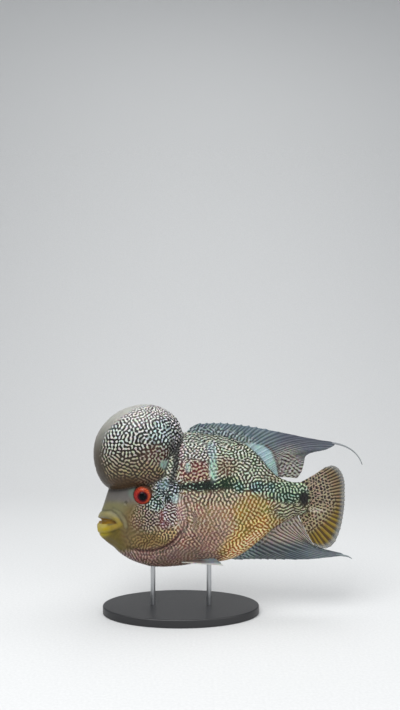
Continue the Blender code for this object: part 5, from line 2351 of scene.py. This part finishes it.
@dataclass
class Stage:
    """Floor with a swept backdrop, soft lights and the camera."""

    focal_pixels: float = 750.0
    frame_height: float = 710.0
    sensor: float = 36.0
    half_width: float = 3.5
    front: float = -2.4  # where the floor begins, in metres
    flat: float = 3.0  # length of its flat part
    backdrop: float = 2.4  # height of the backdrop's upright part
    sweep_radius: float = 0.9
    sky: tuple[float, ...] = (0.92, 0.95, 1.0, 1.0)
    sky_strength: float = 0.42
    aim: Place = (-0.02, 0.0, 0.12)  # what the lights point at, in metres
    lamps: tuple[tuple[str, Place, float, float], ...] = (
        ("key", (-0.45, -0.75, 1.25), 0.9, 17.0),
        ("top", (0.1, 0.15, 1.5), 1.2, 15.0),
        ("fill", (0.9, -1.1, 0.5), 1.0, 6.0),
    )

    def sweep(self) -> Piece:
        """The floor that curves up into the backdrop.

        Returns:
            The floor.
        """
        shape = bmesh.new()
        ends = [shape.verts.new((x, self.front, 0.0)) for x in (-self.half_width, self.half_width)]
        edges = [shape.edges.new(ends)]
        turns = np.linspace(0.0, math.pi / 2, 25)
        arc = [(self.sweep_radius * math.sin(t), self.sweep_radius * (1 - math.cos(t))) for t in turns]
        steps = [(b[0] - a[0], b[1] - a[1]) for a, b in zip(arc, arc[1:])]
        steps = [(self.flat, 0.0), *steps, (0.0, self.backdrop)]
        for dy, dz in steps:
            pushed = bmesh.ops.extrude_edge_only(shape, edges=edges)["geom"]
            moved = [g for g in pushed if isinstance(g, bmesh.types.BMVert)]
            bmesh.ops.translate(shape, verts=moved, vec=(0, dy, dz))
            new = [g for g in pushed if isinstance(g, bmesh.types.BMEdge)]
            edges = [e for e in new if all(v in moved for v in e.verts)]
        made = finished("floor", shape)
        made.data.flip_normals()
        made.data.materials.append(PlainFinish("floor_paper", (200, 201, 201), 0.85, relief=0.0).make())
        return made

    def lamp(self, name: str, place: Place, size: float, power: float) -> Piece:
        """A soft square light.

        Args:
            name: its name.
            place: where it hangs, in metres.
            size: its side in metres.
            power: its power in watts.

        Returns:
            The light.
        """
        light = bpy.data.lights.new(name, "AREA")
        light.shape = "SQUARE"
        light.size = size
        light.energy = power
        made = in_scene(name, light)
        made.location = place
        made.rotation_euler = (Vector(self.aim) - Vector(place)).to_track_quat("-Z", "Y").to_euler()
        return made

    def build(self) -> None:
        """Sets up floor, lights, world and camera."""
        self.sweep()
        for lamp in self.lamps:
            self.lamp(*lamp)
        world = bpy.data.worlds.new("studio")
        world.use_nodes = True
        background = world.node_tree.nodes["Background"]
        background.inputs["Color"].default_value = self.sky
        background.inputs["Strength"].default_value = self.sky_strength
        bpy.context.scene.world = world
        bpy.context.scene.view_settings.view_transform = "Standard"
        lens = bpy.data.cameras.new("camera")
        lens.sensor_width = self.sensor
        lens.lens = self.sensor * self.focal_pixels / self.frame_height
        lens.clip_start = 0.01
        camera = in_scene("camera", lens)
        camera.location = to_frame(np.array([[VIEW.x, -VIEW.away, VIEW.height]]))[0]
        camera.rotation_euler = (math.pi / 2, 0.0, 0.0)
        bpy.context.scene.camera = camera


def report(pieces: Sequence[Piece]) -> None:
    """Logs each piece with its count of triangles."""
    for piece in pieces:
        log.info("%s: %d triangles", piece.name, sum(len(p.vertices) - 2 for p in piece.data.polygons))


def main() -> None:
    """Builds the whole model and its stage."""
    logging.basicConfig(level=logging.INFO)
    report([Skin().build()])
    coat = ScaleCoat()
    report([coat.build(side) for side in Side])
    report([EYE.build(side) for side in Side])
    report(MiddleFins().build())
    report(PairedFins().build())
    report(Stand().build())
    Stage().build()


if __name__ == "__main__":
    main()
